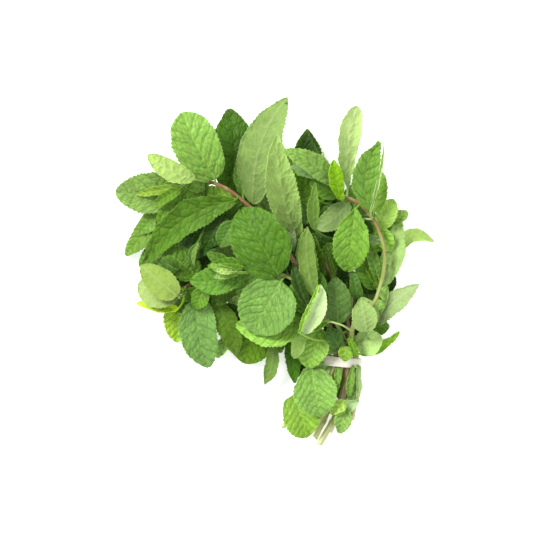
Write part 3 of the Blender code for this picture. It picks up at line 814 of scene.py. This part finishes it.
def settle(blade):
    """Moves a leaf up or down from where it is wanted until it lies free of its neighbours."""
    points, faces = sheets(blade)
    best = None
    for step in sorted(np.arange(-SETTLE_REACH, SETTLE_REACH + 0.1, SETTLE_STEP), key=abs):
        moved = points + (0, 0, step)
        if moved[:, 2].min() < -TABLE_SLACK:
            continue
        low_corner, high_corner = moved.min(axis=0), moved.max(axis=0)
        near = [tree for low_end, high_end, tree in taken
                if (low_end < high_corner).all() and (high_end > low_corner).all()]
        hits = 0
        if near:
            sheet = BVHTree.FromPolygons(moved.tolist(), faces)
            hits = sum(len(sheet.overlap(tree)) for tree in near)
        if best is None or hits < best[0]:
            best = (hits, step)
        if not hits:
            break
    blade.heights[0] += best[1]
    claim(points + (0, 0, best[1]), faces)


def grow_small(name, stem, base, tip, width, bow, outline, face, height, rise, colour,
               arch=2.0, lean=8, cup=2.0, pucker=0.8, wave=0.6):
    """A smaller leaf of the same stem, laid at about its height wherever there is room for it."""
    blade = Blade(base, tip, width, bow, outline).set_heights(height, rise, arch, lean, cup)
    settle(blade)
    leaf = grow_blade(name + "_blade", blade, face, colour, pucker, wave, SMALL_COARSE)
    join_pieces(leaf, grow_stalk(name, stalk_run(blade, stem), colour, leaf.data.materials))
    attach(leaf, "root")
    return leaf


# Each leaf: name, base, tip, width, bow, outline, side up (1 upper, -1 under), colour, then how
# puckered and wavy it is, and how it is filled out, lengthened, moved and reshaped.
for leaf in [
    ("leaf_am", (1.6, -1.2), (-22.6, 41.2), 37, 0, "round", 1, (0.085, 0.21, 0.012), 1.25, 1.0),
    ("leaf_al", (3.2, -5.4), (-15.8, -38.6), 38, 0, "round", 1, (0.2, 0.4, 0.07), 1.1, 0.9),
    # leaf_aj's colour is set brighter than its own green: painted light against the shadow leaf_al casts on
    # it.
    ("leaf_aj", (21.5, -27), (-26.5, -34.5), 27, 4, "oval", 1, (0.28, 0.55, 0.07), 1.15, 1.0),
    ("leaf_an", (-20, 0), (-56.2, -5.2), 19, 2, "oval", 1, (0.12, 0.29, 0.025), 1.2, 0.9),
    ("shoot_3", (-21, 4.2), (-44, 4.0), 9, -2, "long", 1, (0.11, 0.26, 0.015), 1.0, 0.6)]:
    grow_leaf(leaf[0], "stem_3", *leaf[1:])

# Each small leaf: base, tip, width, bow, outline, side up, height, rise, colour, then its arch,
# lean, cup and puckers where they differ.
for number, leaf in enumerate([
    ((-26, 3), (-44.5, 13), 9, 0, "oval", 1, 50, -2, (0.08, 0.19, 0.012)),
    ((-24, 0), (-42, 5.5), 6, 1, "oval", 1, 60, -3, (0.19, 0.36, 0.05)),
    ((-24, 0), (-40, -3), 6, -1, "oval", 1, 59, -3, (0.26, 0.44, 0.09)),
    ((-28, 1), (-38, 1.5), 5, 0, "long", 1, 62, -2, (0.32, 0.5, 0.12))], 1):
    grow_small(f"tip_leaf_{number}", "stem_3", *leaf)
# The near-black blade here, (0.03, 0.08, 0.005), carries painted shade for the narrow gap it fills between
# the larger leaves.
for number, leaf in enumerate([
    ((-27, 33), (-37, 17), 14, 0, "oval", 1, 36, -4, (0.13, 0.3, 0.04)),
    ((-28, -10), (-42, -20), 12, 0, "oval", 1, 30, -6, (0.08, 0.18, 0.01)),
    ((20, -20), (11, 6), 8, 1, "long", 1, 47, 3, (0.03, 0.08, 0.005)),
    ((25, -19), (9, -8), 7, 1, "long", 1, 45, 3, (0.1, 0.25, 0.018)),
    ((22, -25), (8, -15), 8, 1, "long", 1, 42, 3, (0.1, 0.25, 0.018)),
    ((6, 8), (12, 28), 9, 1, "oval", -1, 34, 2, (0.31, 0.44, 0.18)),
    ((33, -30.5), (19, -39), 7, -1, "oval", 1, 38, -5, (0.2, 0.42, 0.03)),
    ((-8, 0), (-30, -13), 15, 0, "oval", 1, 32, -4, (0.2, 0.42, 0.06)),
    ((10, -12), (8, 10), 10, 0, "oval", 1, 26, 2, (0.05, 0.14, 0.01)),
    ((18, -39), (28.6, -7.2), 11.5, -3.5, "oval", -1, 44, 2, (0.56, 0.76, 0.33), 2.0, 4),
    ((32, -20), (23.5, 4), 10, 0, "oval", 1, 42, 3, (0.06, 0.16, 0.012)),
    ((10, -4), (22, 12), 11, 0, "oval", 1, 27, 2, (0.05, 0.14, 0.012)),
    ((25, -15), (7, 16), 12, 0, "oval", 1, 31, 3, (0.05, 0.13, 0.008)),
    ((22, -30), (10, -20), 8, 0, "long", 1, 40, 2, (0.13, 0.3, 0.03))], 1):
    grow_small(f"front_leaf_{number}", "stem_3", *leaf)

# ------------------------------------------------------------
# Leaves of the long stem at the upper left, soft toothed blades on short stalks. The stem arches
# over, so they droop to the left, and a young, pale one lies near its end.

for leaf in [
    ("leaf_a", (-39.7, 61.1), (-60.5, 103.4), 31, 1, "round", 1, (0.24, 0.46, 0.07), 1.1, 0.9),
    ("leaf_ap", (-27, 47), (-87.4, 4.0), 21, -9, "long", 1, (0.105, 0.24, 0.016), 1.0, 0.9),
    ("leaf_aq", (-62.4, 55.3), (-104.3, 52.7), 21, 2, "oval", 1, (0.19, 0.34, 0.06), 1.1, 0.9, 1.3,
     1.05),
    ("leaf_ar", (-52.7, 60.2), (-81.9, 75.4), 14, 2, "oval", -1, (0.42, 0.62, 0.15), 0.8, 0.7),
    ("leaf_au", (-72, 43), (-96.2, 11.7), 11, 2, "oval", 1, (0.16, 0.31, 0.035), 1.0, 0.7, 1.35, 1.0,
     (-4.2, 0)),
    # leaf_be's near-black colour is painted shade: it lies in the dark hollow under leaf_ap.
    ("leaf_be", (-38, 36), (-56, 10), 19, 2, "oval", 1, (0.03, 0.1, 0.005), 1.0, 0.8)]:
    grow_leaf(leaf[0], "stem_1", *leaf[1:])

# The near-black blades here, near (0.03, 0.09, 0.005), carry painted shade: they lie in the dark hollow
# under leaf_ap.
for number, leaf in enumerate([
    ((-63, 55.5), (-91.5, 51), 7, 0, "long", 1, 45, -17, (0.21, 0.36, 0.03)),
    ((-62, 54), (-80, 43.5), 8, 0, "long", 1, 42, -11, (0.12, 0.26, 0.012)),
    ((-58, 54), (-79, 30), 9, -1, "long", 1, 41, -10, (0.14, 0.3, 0.025)),
    ((-54, 5), (-50, 20), 6, 2.5, "oval", -1, 31, 1, (0.17, 0.32, 0.05)),
    ((-60, 6), (-83, 5), 12, 0, "oval", 1, 23, -10, (0.2, 0.38, 0.08)),
    ((-64, 2), (-76, 8), 9, 0, "oval", 1, 26, -6, (0.05, 0.13, 0.008)),
    ((-44, 26), (-70, 20), 22, 0, "oval", 1, 12, -4, (0.03, 0.09, 0.005)),
    ((-34, 38), (-46, 16), 18, 0, "oval", 1, 22, -4, (0.03, 0.09, 0.004)),
    ((-22, 52), (-22, 79), 13, 0, "long", 1, 20, 4, (0.16, 0.34, 0.05)),
    ((-72, 44), (-90, 26), 13, 0, "oval", 1, 22, -6, (0.18, 0.36, 0.045)),
    ((-44, 58), (-66, 51), 13, 0, "oval", 1, 32, 0, (0.17, 0.38, 0.03)),
    ((-26, 44), (-50, 54), 15, 0, "oval", 1, 26, 0, (0.4, 0.7, 0.09)),
    ((-22, 46), (-34, 33), 14, 0, "oval", 1, 26, 0, (0.06, 0.17, 0.012)),
    ((-70, 22), (-90.5, 4), 15, 0, "oval", 1, 12, -5, (0.16, 0.35, 0.035)),
    ((-15, 42), (-29, 56), 13, 0, "oval", 1, 13, 2, (0.05, 0.14, 0.012)),
    ((-46, 55), (-62, 60), 9, 0, "oval", 1, 28, 0, (0.2, 0.38, 0.06))], 1):
    grow_small(f"top_leaf_{number}", "stem_1", *leaf)

# ------------------------------------------------------------
# Leaves of the stem at the left, which comes out low under the front leaves. Each soft blade is
# held by its own stalk. The ones at the end are young, thin and yellow-green.

for leaf in [
    ("leaf_av", (-62.5, -13.5), (-91, -8.5), 24, 0, "round", -1, (0.33, 0.46, 0.13), 0.8, 1.2),
    ("leaf_aw", (-65, -19.5), (-65.2, -47.2), 20, 2, "oval", 1, (0.42, 0.68, 0.05), 1.0, 0.8, 1.0, 1.0,
     (-1, 1)),
    ("leaf_ax", (-51.4, -16.3), (-44.2, -62.7), 26, -3, "oval", 1, (0.2, 0.4, 0.085), 0.9, 1.0),
    ("leaf_ay", (-40, -18), (-26, -54), 16, 2, "oval", 1, (0.1, 0.21, 0.01), 0.7, 0.8),
    ("leaf_bb", (-51, -2), (-74, 16), 21, 0, "oval", 1, (0.1, 0.23, 0.015), 1.2, 0.8),
    ("leaf_ai", (-11, -28), (-20, -58.5), 27, 0, "round", 1, (0.13, 0.28, 0.008), 1.0, 0.8, 1.1, 1.05),
    ("leaf_ah", (-0.7, -44), (-6.2, -73.1), 8.5, 2, "long", -1, (0.17, 0.3, 0.05), 0.7, 0.5, 1.1, 1.0,
     (-1.2, -1)),
    ("leaf_low_1", (12, -4), (-32, -22), 27, 3, "oval", -1, (0.28, 0.44, 0.12)),
    ("leaf_low_2", (-8, 16), (-52, 12), 28, -3, "oval", -1, (0.28, 0.44, 0.12))]:
    grow_leaf(leaf[0], "stem_2", *leaf[1:])

# The near-black blades here, near (0.03, 0.09, 0.005), carry painted shade: they lie low under the others
# and stand for the dark hollows there.
for number, leaf in enumerate([
    ((-64, -23.5), (-92, -20), 9, -1, "long", 1, 31, -16, (0.5, 0.78, 0.03)),
    ((-64, -10), (-80, 4), 8, 1, "long", 1, 34, -8, (0.26, 0.46, 0.03)),
    ((-50, -10), (-63, -18), 9, 0, "oval", 1, 24, -6, (0.1, 0.25, 0.012)),
    ((-33, -44), (-40, -56), 9, 0, "oval", 1, 9, -3, (0.3, 0.54, 0.11)),
    ((-22, -30), (-29, -52), 12, 0, "oval", 1, 11, -3, (0.06, 0.16, 0.006)),
    ((2, -38), (3, -53), 9, 0, "oval", 1, 14, -3, (0.13, 0.29, 0.02)),
    ((-46, -2), (-70, -8), 20, 0, "oval", 1, 9, -3, (0.028, 0.085, 0.005)),
    ((-42, 14), (-60, 2), 18, 0, "oval", 1, 12, -3, (0.03, 0.09, 0.005)),
    ((-24, -24), (-40, -34), 18, 0, "oval", 1, 9, -2, (0.035, 0.1, 0.006)),
    ((-64, -15), (-88, 5), 19, 0, "oval", -1, 40, -10, (0.26, 0.39, 0.07)),
    ((-46, -9), (-53, -24), 13, 0, "oval", 1, 29, -4, (0.15, 0.34, 0.025)),
    ((-38, -10), (-47, -28), 13, 0, "oval", 1, 18, -3, (0.05, 0.13, 0.008)),
    ((-51, -14), (-67, -25), 12, 0, "oval", 1, 20, -4, (0.08, 0.2, 0.012))], 1):
    grow_small(f"left_leaf_{number}", "stem_2", *leaf)

# ------------------------------------------------------------
# Leaves of the middle stem, soft toothed blades on short stalks. Two long ones lie with their
# pale, downy underside up, next to a dark one that shows its upper side.

for leaf in [
    ("leaf_b", (-31, 54), (-30.6, 106.3), 24, -3.5, "oval", 1, (0.055, 0.15, 0.005), 1.2, 0.9, 1.2,
     1.05, (0, 0.5)),
    ("leaf_d", (-12.4, 44), (9.6, 112.6), 27, 7, "long", -1, (0.25, 0.39, 0.1), 0.7, 0.9, 1.0, 1.0,
     (-2.5, 1.5)),
    # leaf_e's pale colour is set brighter than a leaf's own: painted light against the shade its neighbours
    # cast on it.
    ("leaf_e", (14.5, 22), (0.7, 89.1), 21, 4, "long", -1, (0.4, 0.61, 0.15), 0.7, 0.8),
    ("leaf_low_3", (14, 20), (-14, 60), 27, 3, "oval", -1, (0.28, 0.44, 0.12))]:
    grow_leaf(leaf[0], "stem_5", *leaf[1:])

# ------------------------------------------------------------
# Leaves of the stem right of the middle, soft toothed blades on short stalks. Most are small and
# lie deep between the others, and the two broad lowest ones lie under the arching stem.

for leaf in [
    ("leaf_f", (38.4, 57.9), (20.8, 94.3), 18, 8, "long", 1, (0.04, 0.115, 0.004), 1.0, 0.7),
    ("leaf_h", (31, 46), (8.5, 66), 20, 1, "oval", 1, (0.12, 0.28, 0.015), 1.3, 0.8),
    ("leaf_r", (48.1, 46.2), (26, 28.6), 15, 2, "oval", -1, (0.25, 0.38, 0.11), 0.8, 0.8),
    ("leaf_s", (24.7, 28), (25.4, 58.5), 8, 1, "long", -1, (0.17, 0.33, 0.04), 0.6, 0.5),
    ("leaf_g", (39, 56.6), (5.2, 78.7), 15, -3, "long", 1, (0.22, 0.4, 0.07), 1.0, 0.7),
    ("leaf_low_4", (40, 6), (62, 46), 27, -3, "oval", -1, (0.16, 0.28, 0.06)),
    ("leaf_low_5", (42, -28), (72, 0), 25, 3, "oval", -1, (0.16, 0.28, 0.06))]:
    grow_leaf(leaf[0], "stem_6", *leaf[1:])

# The near-black blades here, near (0.03, 0.09, 0.005), carry painted shade: they lie low under the others
# and stand for the dark hollows there.
for number, leaf in enumerate([
    ((21, 54), (20.9, 95.5), 22, 0, "long", 1, 6, 0, (0.08, 0.2, 0.008)),
    ((36, 61), (10, 69), 8, 0, "oval", 1, 38, 6, (0.2, 0.35, 0.12)),
    ((40, 50), (22, 60), 13, 0, "oval", 1, 26, 2, (0.12, 0.28, 0.025)),
    ((12, 55), (20, 32), 12, 1, "oval", 1, 22, 3, (0.12, 0.26, 0.05)),
    ((32, 60), (30.5, 78.5), 4, 0, "long", -1, 26, 10, (0.4, 0.58, 0.2)),
    ((26, 24), (14, 46), 20, 0, "oval", 1, 14, 0, (0.035, 0.1, 0.006)),
    ((48, 30), (30, 14), 20, 0, "oval", 1, 15, 0, (0.03, 0.09, 0.005)),
    ((30, 52), (33, 34), 13, 0, "oval", 1, 22, 0, (0.06, 0.16, 0.012)),
    ((40, -10), (44, 9), 13, 0, "oval", 1, 20, 2, (0.04, 0.11, 0.008)),
    ((31, 65), (4, 75), 14, 0, "oval", 1, 34, 2, (0.24, 0.42, 0.08)),
    ((33, 20), (27, 32), 14, 0, "oval", 1, 8, 0, (0.03, 0.09, 0.005)),
    ((7, 28), (17, 18), 10, 0, "oval", 1, 11, 0, (0.04, 0.11, 0.008)),
    ((25, 26), (31, 12), 10, 0, "oval", 1, 9, 0, (0.04, 0.11, 0.008)),
    ((10, 23), (14, 10), 10, 0, "oval", 1, 10, 0, (0.05, 0.14, 0.01)),
    ((28, 53), (42, 40), 13, 0, "oval", 1, 16, 0, (0.05, 0.14, 0.01))], 1):
    grow_small(f"right_leaf_{number}", "stem_6", *leaf)

# ------------------------------------------------------------
# Leaves of the stem that arches up the right side, soft toothed blades that stand off it in
# pairs. Several show the pale underside, and one young leaf by the arch is bright green.

for leaf in [
    ("leaf_i", (46.6, 55.6), (52.6, 107.9), 13, 3.0, "spoon", -1, (0.5, 0.7, 0.23), 0.6, 0.7, 1.12),
    ("leaf_j", (42.3, 47.5), (37.1, 72.8), 10, 1, "oval", 1, (0.27, 0.55, 0.01), 0.6, 0.5),
    ("leaf_k", (61.8, 39.7), (67.6, 84.5), 16, 6, "long", 1, (0.2, 0.41, 0.05), 1.0, 0.8, 1.2, 1.0,
     (-1, 0)),
    ("leaf_l", (63.7, 39.7), (68.2, 66.2), 14, 0, "oval", 1, (0.28, 0.52, 0.07), 0.9, 0.7),
    ("leaf_m", (67.6, 29.3), (76.4, 48.4), 14, 0, "oval", -1, (0.4, 0.66, 0.12), 0.8, 0.7),
    ("leaf_o", (68.9, -8.5), (80.6, 36.4), 15, -2, "long", -1, (0.39, 0.6, 0.17), 0.7, 0.8),
    ("leaf_p", (79.3, 13.7), (104.4, 21.5), 9, 8.5, "long", -1, (0.48, 0.74, 0.16), 0.6, 0.5, 1.15,
     1.02, (0, -1)),
    ("leaf_q", (51.4, 41.6), (46.2, 1.3), 24, 0, "oval", 1, (0.21, 0.44, 0.045), 0.9, 0.8, 1.0, 1.0,
     (0, 0), "spoon")]:
    grow_leaf(leaf[0], "stem_4", *leaf[1:])

# The near-black blades here, near (0.03, 0.09, 0.005), carry painted shade: they lie low under the others
# and stand for the dark hollows there.
for number, leaf in enumerate([
    ((75, 33), (86, 40), 9, 0, "oval", 1, 24, 2, (0.3, 0.52, 0.09)),
    ((54, 35), (63, 26), 8, 0, "oval", 1, 30, 0, (0.06, 0.14, 0.025)),
    ((59, 22), (69, 21), 6, 0, "long", -1, 30, 2, (0.28, 0.45, 0.15)),
    ((67, -3), (60, 19), 9, 0, "oval", 1, 28, 3, (0.14, 0.3, 0.04)),
    ((66, -10), (57, 8), 5, -1, "long", 1, 28, 4, (0.15, 0.3, 0.02)),
    ((66, -10), (54, 7), 13, 0, "oval", 1, 23, 4, (0.11, 0.26, 0.02)),
    ((54, -19), (50, 1), 9, 0, "oval", 1, 26, 3, (0.09, 0.22, 0.025)),
    ((74, -14), (75.5, 2), 8, 0, "oval", 1, 14, 3, (0.03, 0.09, 0.005)),
    ((60, 16), (76, 34), 20, 0, "oval", 1, 14, 0, (0.16, 0.34, 0.02)),
    ((60, -14), (64, 14), 22, 0, "oval", 1, 12, 0, (0.03, 0.09, 0.005)),
    ((66, 30), (76, 14), 11, 0, "oval", 1, 26, 0, (0.32, 0.6, 0.08)),
    ((61, 41), (69, 82), 3, -1, "long", -1, 52, 6, (0.44, 0.62, 0.21)),
    ((64, 8), (72, 24), 16, 0, "oval", 1, 10, 0, (0.035, 0.1, 0.006)),
    ((45, 34), (50, 58), 13, 0, "oval", 1, 24, 0, (0.14, 0.3, 0.04))], 1):
    grow_small(f"arch_leaf_{number}", "stem_4", *leaf)
bare_stalk("arch", [(54.5, 34.5, 34), (57, 35.2, 36), (60, 35.0, 37.5), (62.8, 35.0, 38)],
           (0.4, 0.52, 0.2))

# ------------------------------------------------------------
# Leaves of the inner stem, soft toothed blades on short stalks. They stand up between the
# others and show mostly their edges, and one is pale and nearly triangular.

for leaf in [
    ("leaf_t", (26, -16.3), (20.2, 29.9), 13, 3, "long", -1, (0.3, 0.54, 0.09), 0.7, 0.7, 1.15),
    ("leaf_u", (30, -7.8), (24.7, 24.1), 10, 1, "long", 1, (0.1, 0.22, 0.012), 0.9, 0.6),
    ("leaf_x", (17.6, -37.1), (28.6, -7.8), 13, 2, "oval", -1, (0.44, 0.6, 0.26), 0.5, 0.7, 1.25)]:
    grow_leaf(leaf[0], "stem_7", *leaf[1:])

# The near-black blades here, near (0.03, 0.09, 0.005), carry painted shade: they lie low under the others
# and stand for the dark hollows there.
for number, leaf in enumerate([
    ((33, -6), (35, 20), 14, 0, "oval", 1, 23, 3, (0.09, 0.24, 0.01)),
    ((38.5, -4), (33, 17), 3.5, 1, "long", 1, 34, 3, (0.05, 0.11, 0.008)),
    ((14.8, -38.4), (27.8, -7.6), 3.2, 0.5, "long", 1, 46, 2, (0.34, 0.6, 0.08)),
    ((30, -34), (16, 8), 24, 0, "oval", 1, 7, 2, (0.035, 0.1, 0.006)),
    ((34, -36), (44, -8), 20, 0, "oval", 1, 9, 2, (0.03, 0.09, 0.005)),
    ((25.5, -15), (20.2, 29.9), 12, 3, "long", -1, 38, 2, (0.18, 0.31, 0.05))], 1):
    grow_small(f"inner_leaf_{number}", "stem_7", *leaf)

# ------------------------------------------------------------
# Leaves of the short stem at the lower right, soft toothed blades on short stalks. They spread
# out just above the band, and three of the larger ones lie with the pale underside up.

for leaf in [
    ("leaf_w", (40.3, -33), (38.6, -2.6), 19, 0, "oval", 1, (0.12, 0.24, 0.05), 0.5, 0.6),
    ("leaf_y", (65, -34), (93.6, -8.5), 14, 2, "long", -1, (0.38, 0.53, 0.2), 0.6, 0.7, 1.0, 1.0,
     (-0.3, 1.2)),
    ("leaf_z", (61.8, -36.4), (55.3, -16), 16, -1, "oval", -1, (0.33, 0.5, 0.14), 0.6, 0.7),
    ("leaf_ab", (52.6, -47.4), (70.4, -43.6), 14, -1, "oval", -1, (0.46, 0.7, 0.21), 0.6, 0.8, 1.2,
     1.0, (-1, 1)),
    ("leaf_ac", (55.5, -53.4), (81.3, -38.6), 8, -2, "long", 1, (0.28, 0.58, 0.03), 0.7, 0.5)]:
    grow_leaf(leaf[0], "stem_8", *leaf[1:])

# The near-black blades here, near (0.03, 0.09, 0.005), carry painted shade: they lie low under the others
# and stand for the dark hollows there.
for number, leaf in enumerate([
    ((61, -36), (75, -35), 12, 0, "oval", 1, 13, 2, (0.15, 0.33, 0.03)),
    ((42, -50), (34, -35), 10, 0, "oval", 1, 22, 3, (0.08, 0.2, 0.03)),
    ((45, -48), (45.5, -57.8), 10, 0, "oval", 1, 26, -2, (0.28, 0.52, 0.05)),
    ((48, -42), (53, -55.5), 6, 0, "oval", 1, 21, 0, (0.16, 0.34, 0.02)),
    ((40, -50), (31, -47), 9, 0, "oval", -1, 21, 0, (0.3, 0.5, 0.12)),
    ((66, -27), (72, -8), 9, 0, "oval", 1, 17, 3, (0.38, 0.66, 0.14)),
    ((40.3, -33), (38.6, -2.4), 19, 0, "oval", 1, 35, 0, (0.095, 0.2, 0.03), 2.0, 8, 2.0, 0.5),
    ((59, -38), (55, -17), 17, 0, "oval", -1, 34, 0, (0.33, 0.5, 0.14)),
    ((40, -54), (40, -30), 22, 0, "oval", 1, 4, 0, (0.03, 0.09, 0.005)),
    ((52, -50), (53, -26), 18, 0, "oval", 1, 7, 0, (0.03, 0.09, 0.005))], 1):
    grow_small(f"short_leaf_{number}", "stem_8", *leaf)
bare_stalk("short", [(31.9, -31.2, 40), (35, -31.4, 42), (38.5, -32.3, 42.5), (42, -33.4, 42),
                     (45.2, -35, 40), (49.1, -37.6, 35)], (0.44, 0.56, 0.2))

# ------------------------------------------------------------
# Leaves at the neck and below the band, soft toothed blades on the lowest joints of the stems.
# They were left on when the bunch was tied, and lie beside the cut ends.

for leaf in [
    ("leaf_ae", (27, -35.5), (21.3, -62.8), 23, -1, "oval", 1, (0.36, 0.66, 0.1), 1.0, 0.9),
    ("leaf_ak", (22, -45), (13.7, -70.2), 10, 1, "long", 1, (0.035, 0.11, 0.005), 0.9, 0.6, 1.3, 1.0,
     (-1.5, 0)),
    ("leaf_af", (26, -64.5), (31.6, -95.5), 26, -1, "round", 1, (0.26, 0.5, 0.09), 0.9, 0.9, 1.1, 1.0,
     (-2, 1.5)),
    ("leaf_ag", (12.5, -80.5), (20.5, -108.2), 26, 2, "round", 1, (0.27, 0.5, 0.05), 0.9, 0.9, 1.0,
     1.0, (-1.2, -0.6))]:
    grow_leaf(leaf[0], "stem_1", *leaf[1:])

for number, leaf in enumerate([
    ("stem_1", (17, -38), (12, -56), 9, 0, "oval", -1, 30, -7, (0.42, 0.68, 0.15)),
    ("stem_8", (45, -84), (36, -93), 8, 0, "oval", 1, 17, -2, (0.4, 0.64, 0.1)),
    ("stem_8", (43.5, -90.5), (54.8, -84), 8, 0, "oval", -1, 14, 0, (0.46, 0.66, 0.28)),
    ("stem_8", (46, -89), (42, -106), 11, 0, "oval", 1, 12, -3, (0.28, 0.5, 0.1)),
    ("stem_1", (10.5, -42), (12.5, -73), 12, 0, "long", 1, 6, 0, (0.085, 0.24, 0.006)),
    ("stem_8", (50.5, -61), (47.5, -81), 5, 0, "long", 1, 12, -3, (0.2, 0.38, 0.06)),
    ("stem_8", (45, -61), (44, -86), 15, 0, "oval", 1, 3, -1, (0.14, 0.3, 0.04)),
    ("stem_8", (51, -61), (49, -88), 9, 0, "long", 1, 5, -2, (0.22, 0.4, 0.09)),
    ("stem_1", (36, -60), (15, -72), 13, 0, "oval", 1, 7, -2, (0.26, 0.44, 0.11)),
    ("stem_8", (54.5, -61), (54.0, -85), 4, 0, "long", -1, 14, -3, (0.34, 0.5, 0.17)),
    ("stem_8", (41, -62), (40, -78), 6, 0, "long", 1, 15, -2, (0.22, 0.42, 0.07))], 1):
    grow_small(f"neck_leaf_{number}", *leaf)

# ------------------------------------------------------------
# The studio: a plain white table top, a strong lamp from the upper left, a broad weak one from
# the right, even white light all round and a camera looking straight down.

bpy.ops.mesh.primitive_plane_add(size=6.0, location=(0.0, 0.0, 0.0))
floor = bpy.context.object
floor.name = "table_top"
paper = Nodes("white_table")
coordinates = paper.add("ShaderNodeTexCoord").outputs["Object"]
mottle = paper.noise(coordinates, 3.0, 2.0, 0.5)
paper.finish(paper.ramp(mottle, [(0.3, (0.93, 0.93, 0.93)), (0.7, (0.95, 0.95, 0.95))]),
             paper.span(mottle, 0.0, 1.0, 0.8, 0.9), Specular_IOR_Level=0.1,
             Emission_Color=(1.0, 1.0, 1.0, 1.0), Emission_Strength=0.5)
floor.data.materials.append(paper.mat)
floor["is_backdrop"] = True

world = bpy.data.worlds.new("studio")
world.use_nodes = True
world.node_tree.nodes["Background"].inputs["Color"].default_value = (1.0, 1.0, 1.0, 1.0)
world.node_tree.nodes["Background"].inputs["Strength"].default_value = 0.64
bpy.context.scene.world = world

LAMPS = [
    # name, place, size, power
    ("key_light", (-0.75, 0.62, 1.05), 0.5, 20.0),
    ("fill_light", (0.75, -0.20, 1.10), 1.1, 3.5),
]
for lamp_name, place, size, power in LAMPS:
    lamp = bpy.data.lights.new(lamp_name, "AREA")
    lamp.size = size
    lamp.energy = power
    holder = bpy.data.objects.new(lamp_name, lamp)
    holder.location = place
    holder.rotation_euler = (-Vector(place)).to_track_quat("-Z", "Y").to_euler()
    bpy.context.scene.collection.objects.link(holder)

LENS = 150.0
MIDDLE_HEIGHT = 0.034       # half the height of the bunch, in metres
FIELD = 0.351               # width of the view at that height, in metres
SENSOR = 36.0
VIEW_SHIFT = (-3.9, 2.0)    # from the origin of the leaf sizes, in millimetres
camera = bpy.data.cameras.new("camera")
camera.lens = LENS
camera.sensor_width = SENSOR
holder = bpy.data.objects.new("camera", camera)
holder.location = ((VIEW_SHIFT[0] + ORIGIN[0]) * MM, (VIEW_SHIFT[1] + ORIGIN[1]) * MM,
                   MIDDLE_HEIGHT + FIELD * LENS / SENSOR)
bpy.context.scene.collection.objects.link(holder)
bpy.context.scene.camera = holder
bpy.context.scene.view_settings.view_transform = "Standard"

low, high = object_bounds()
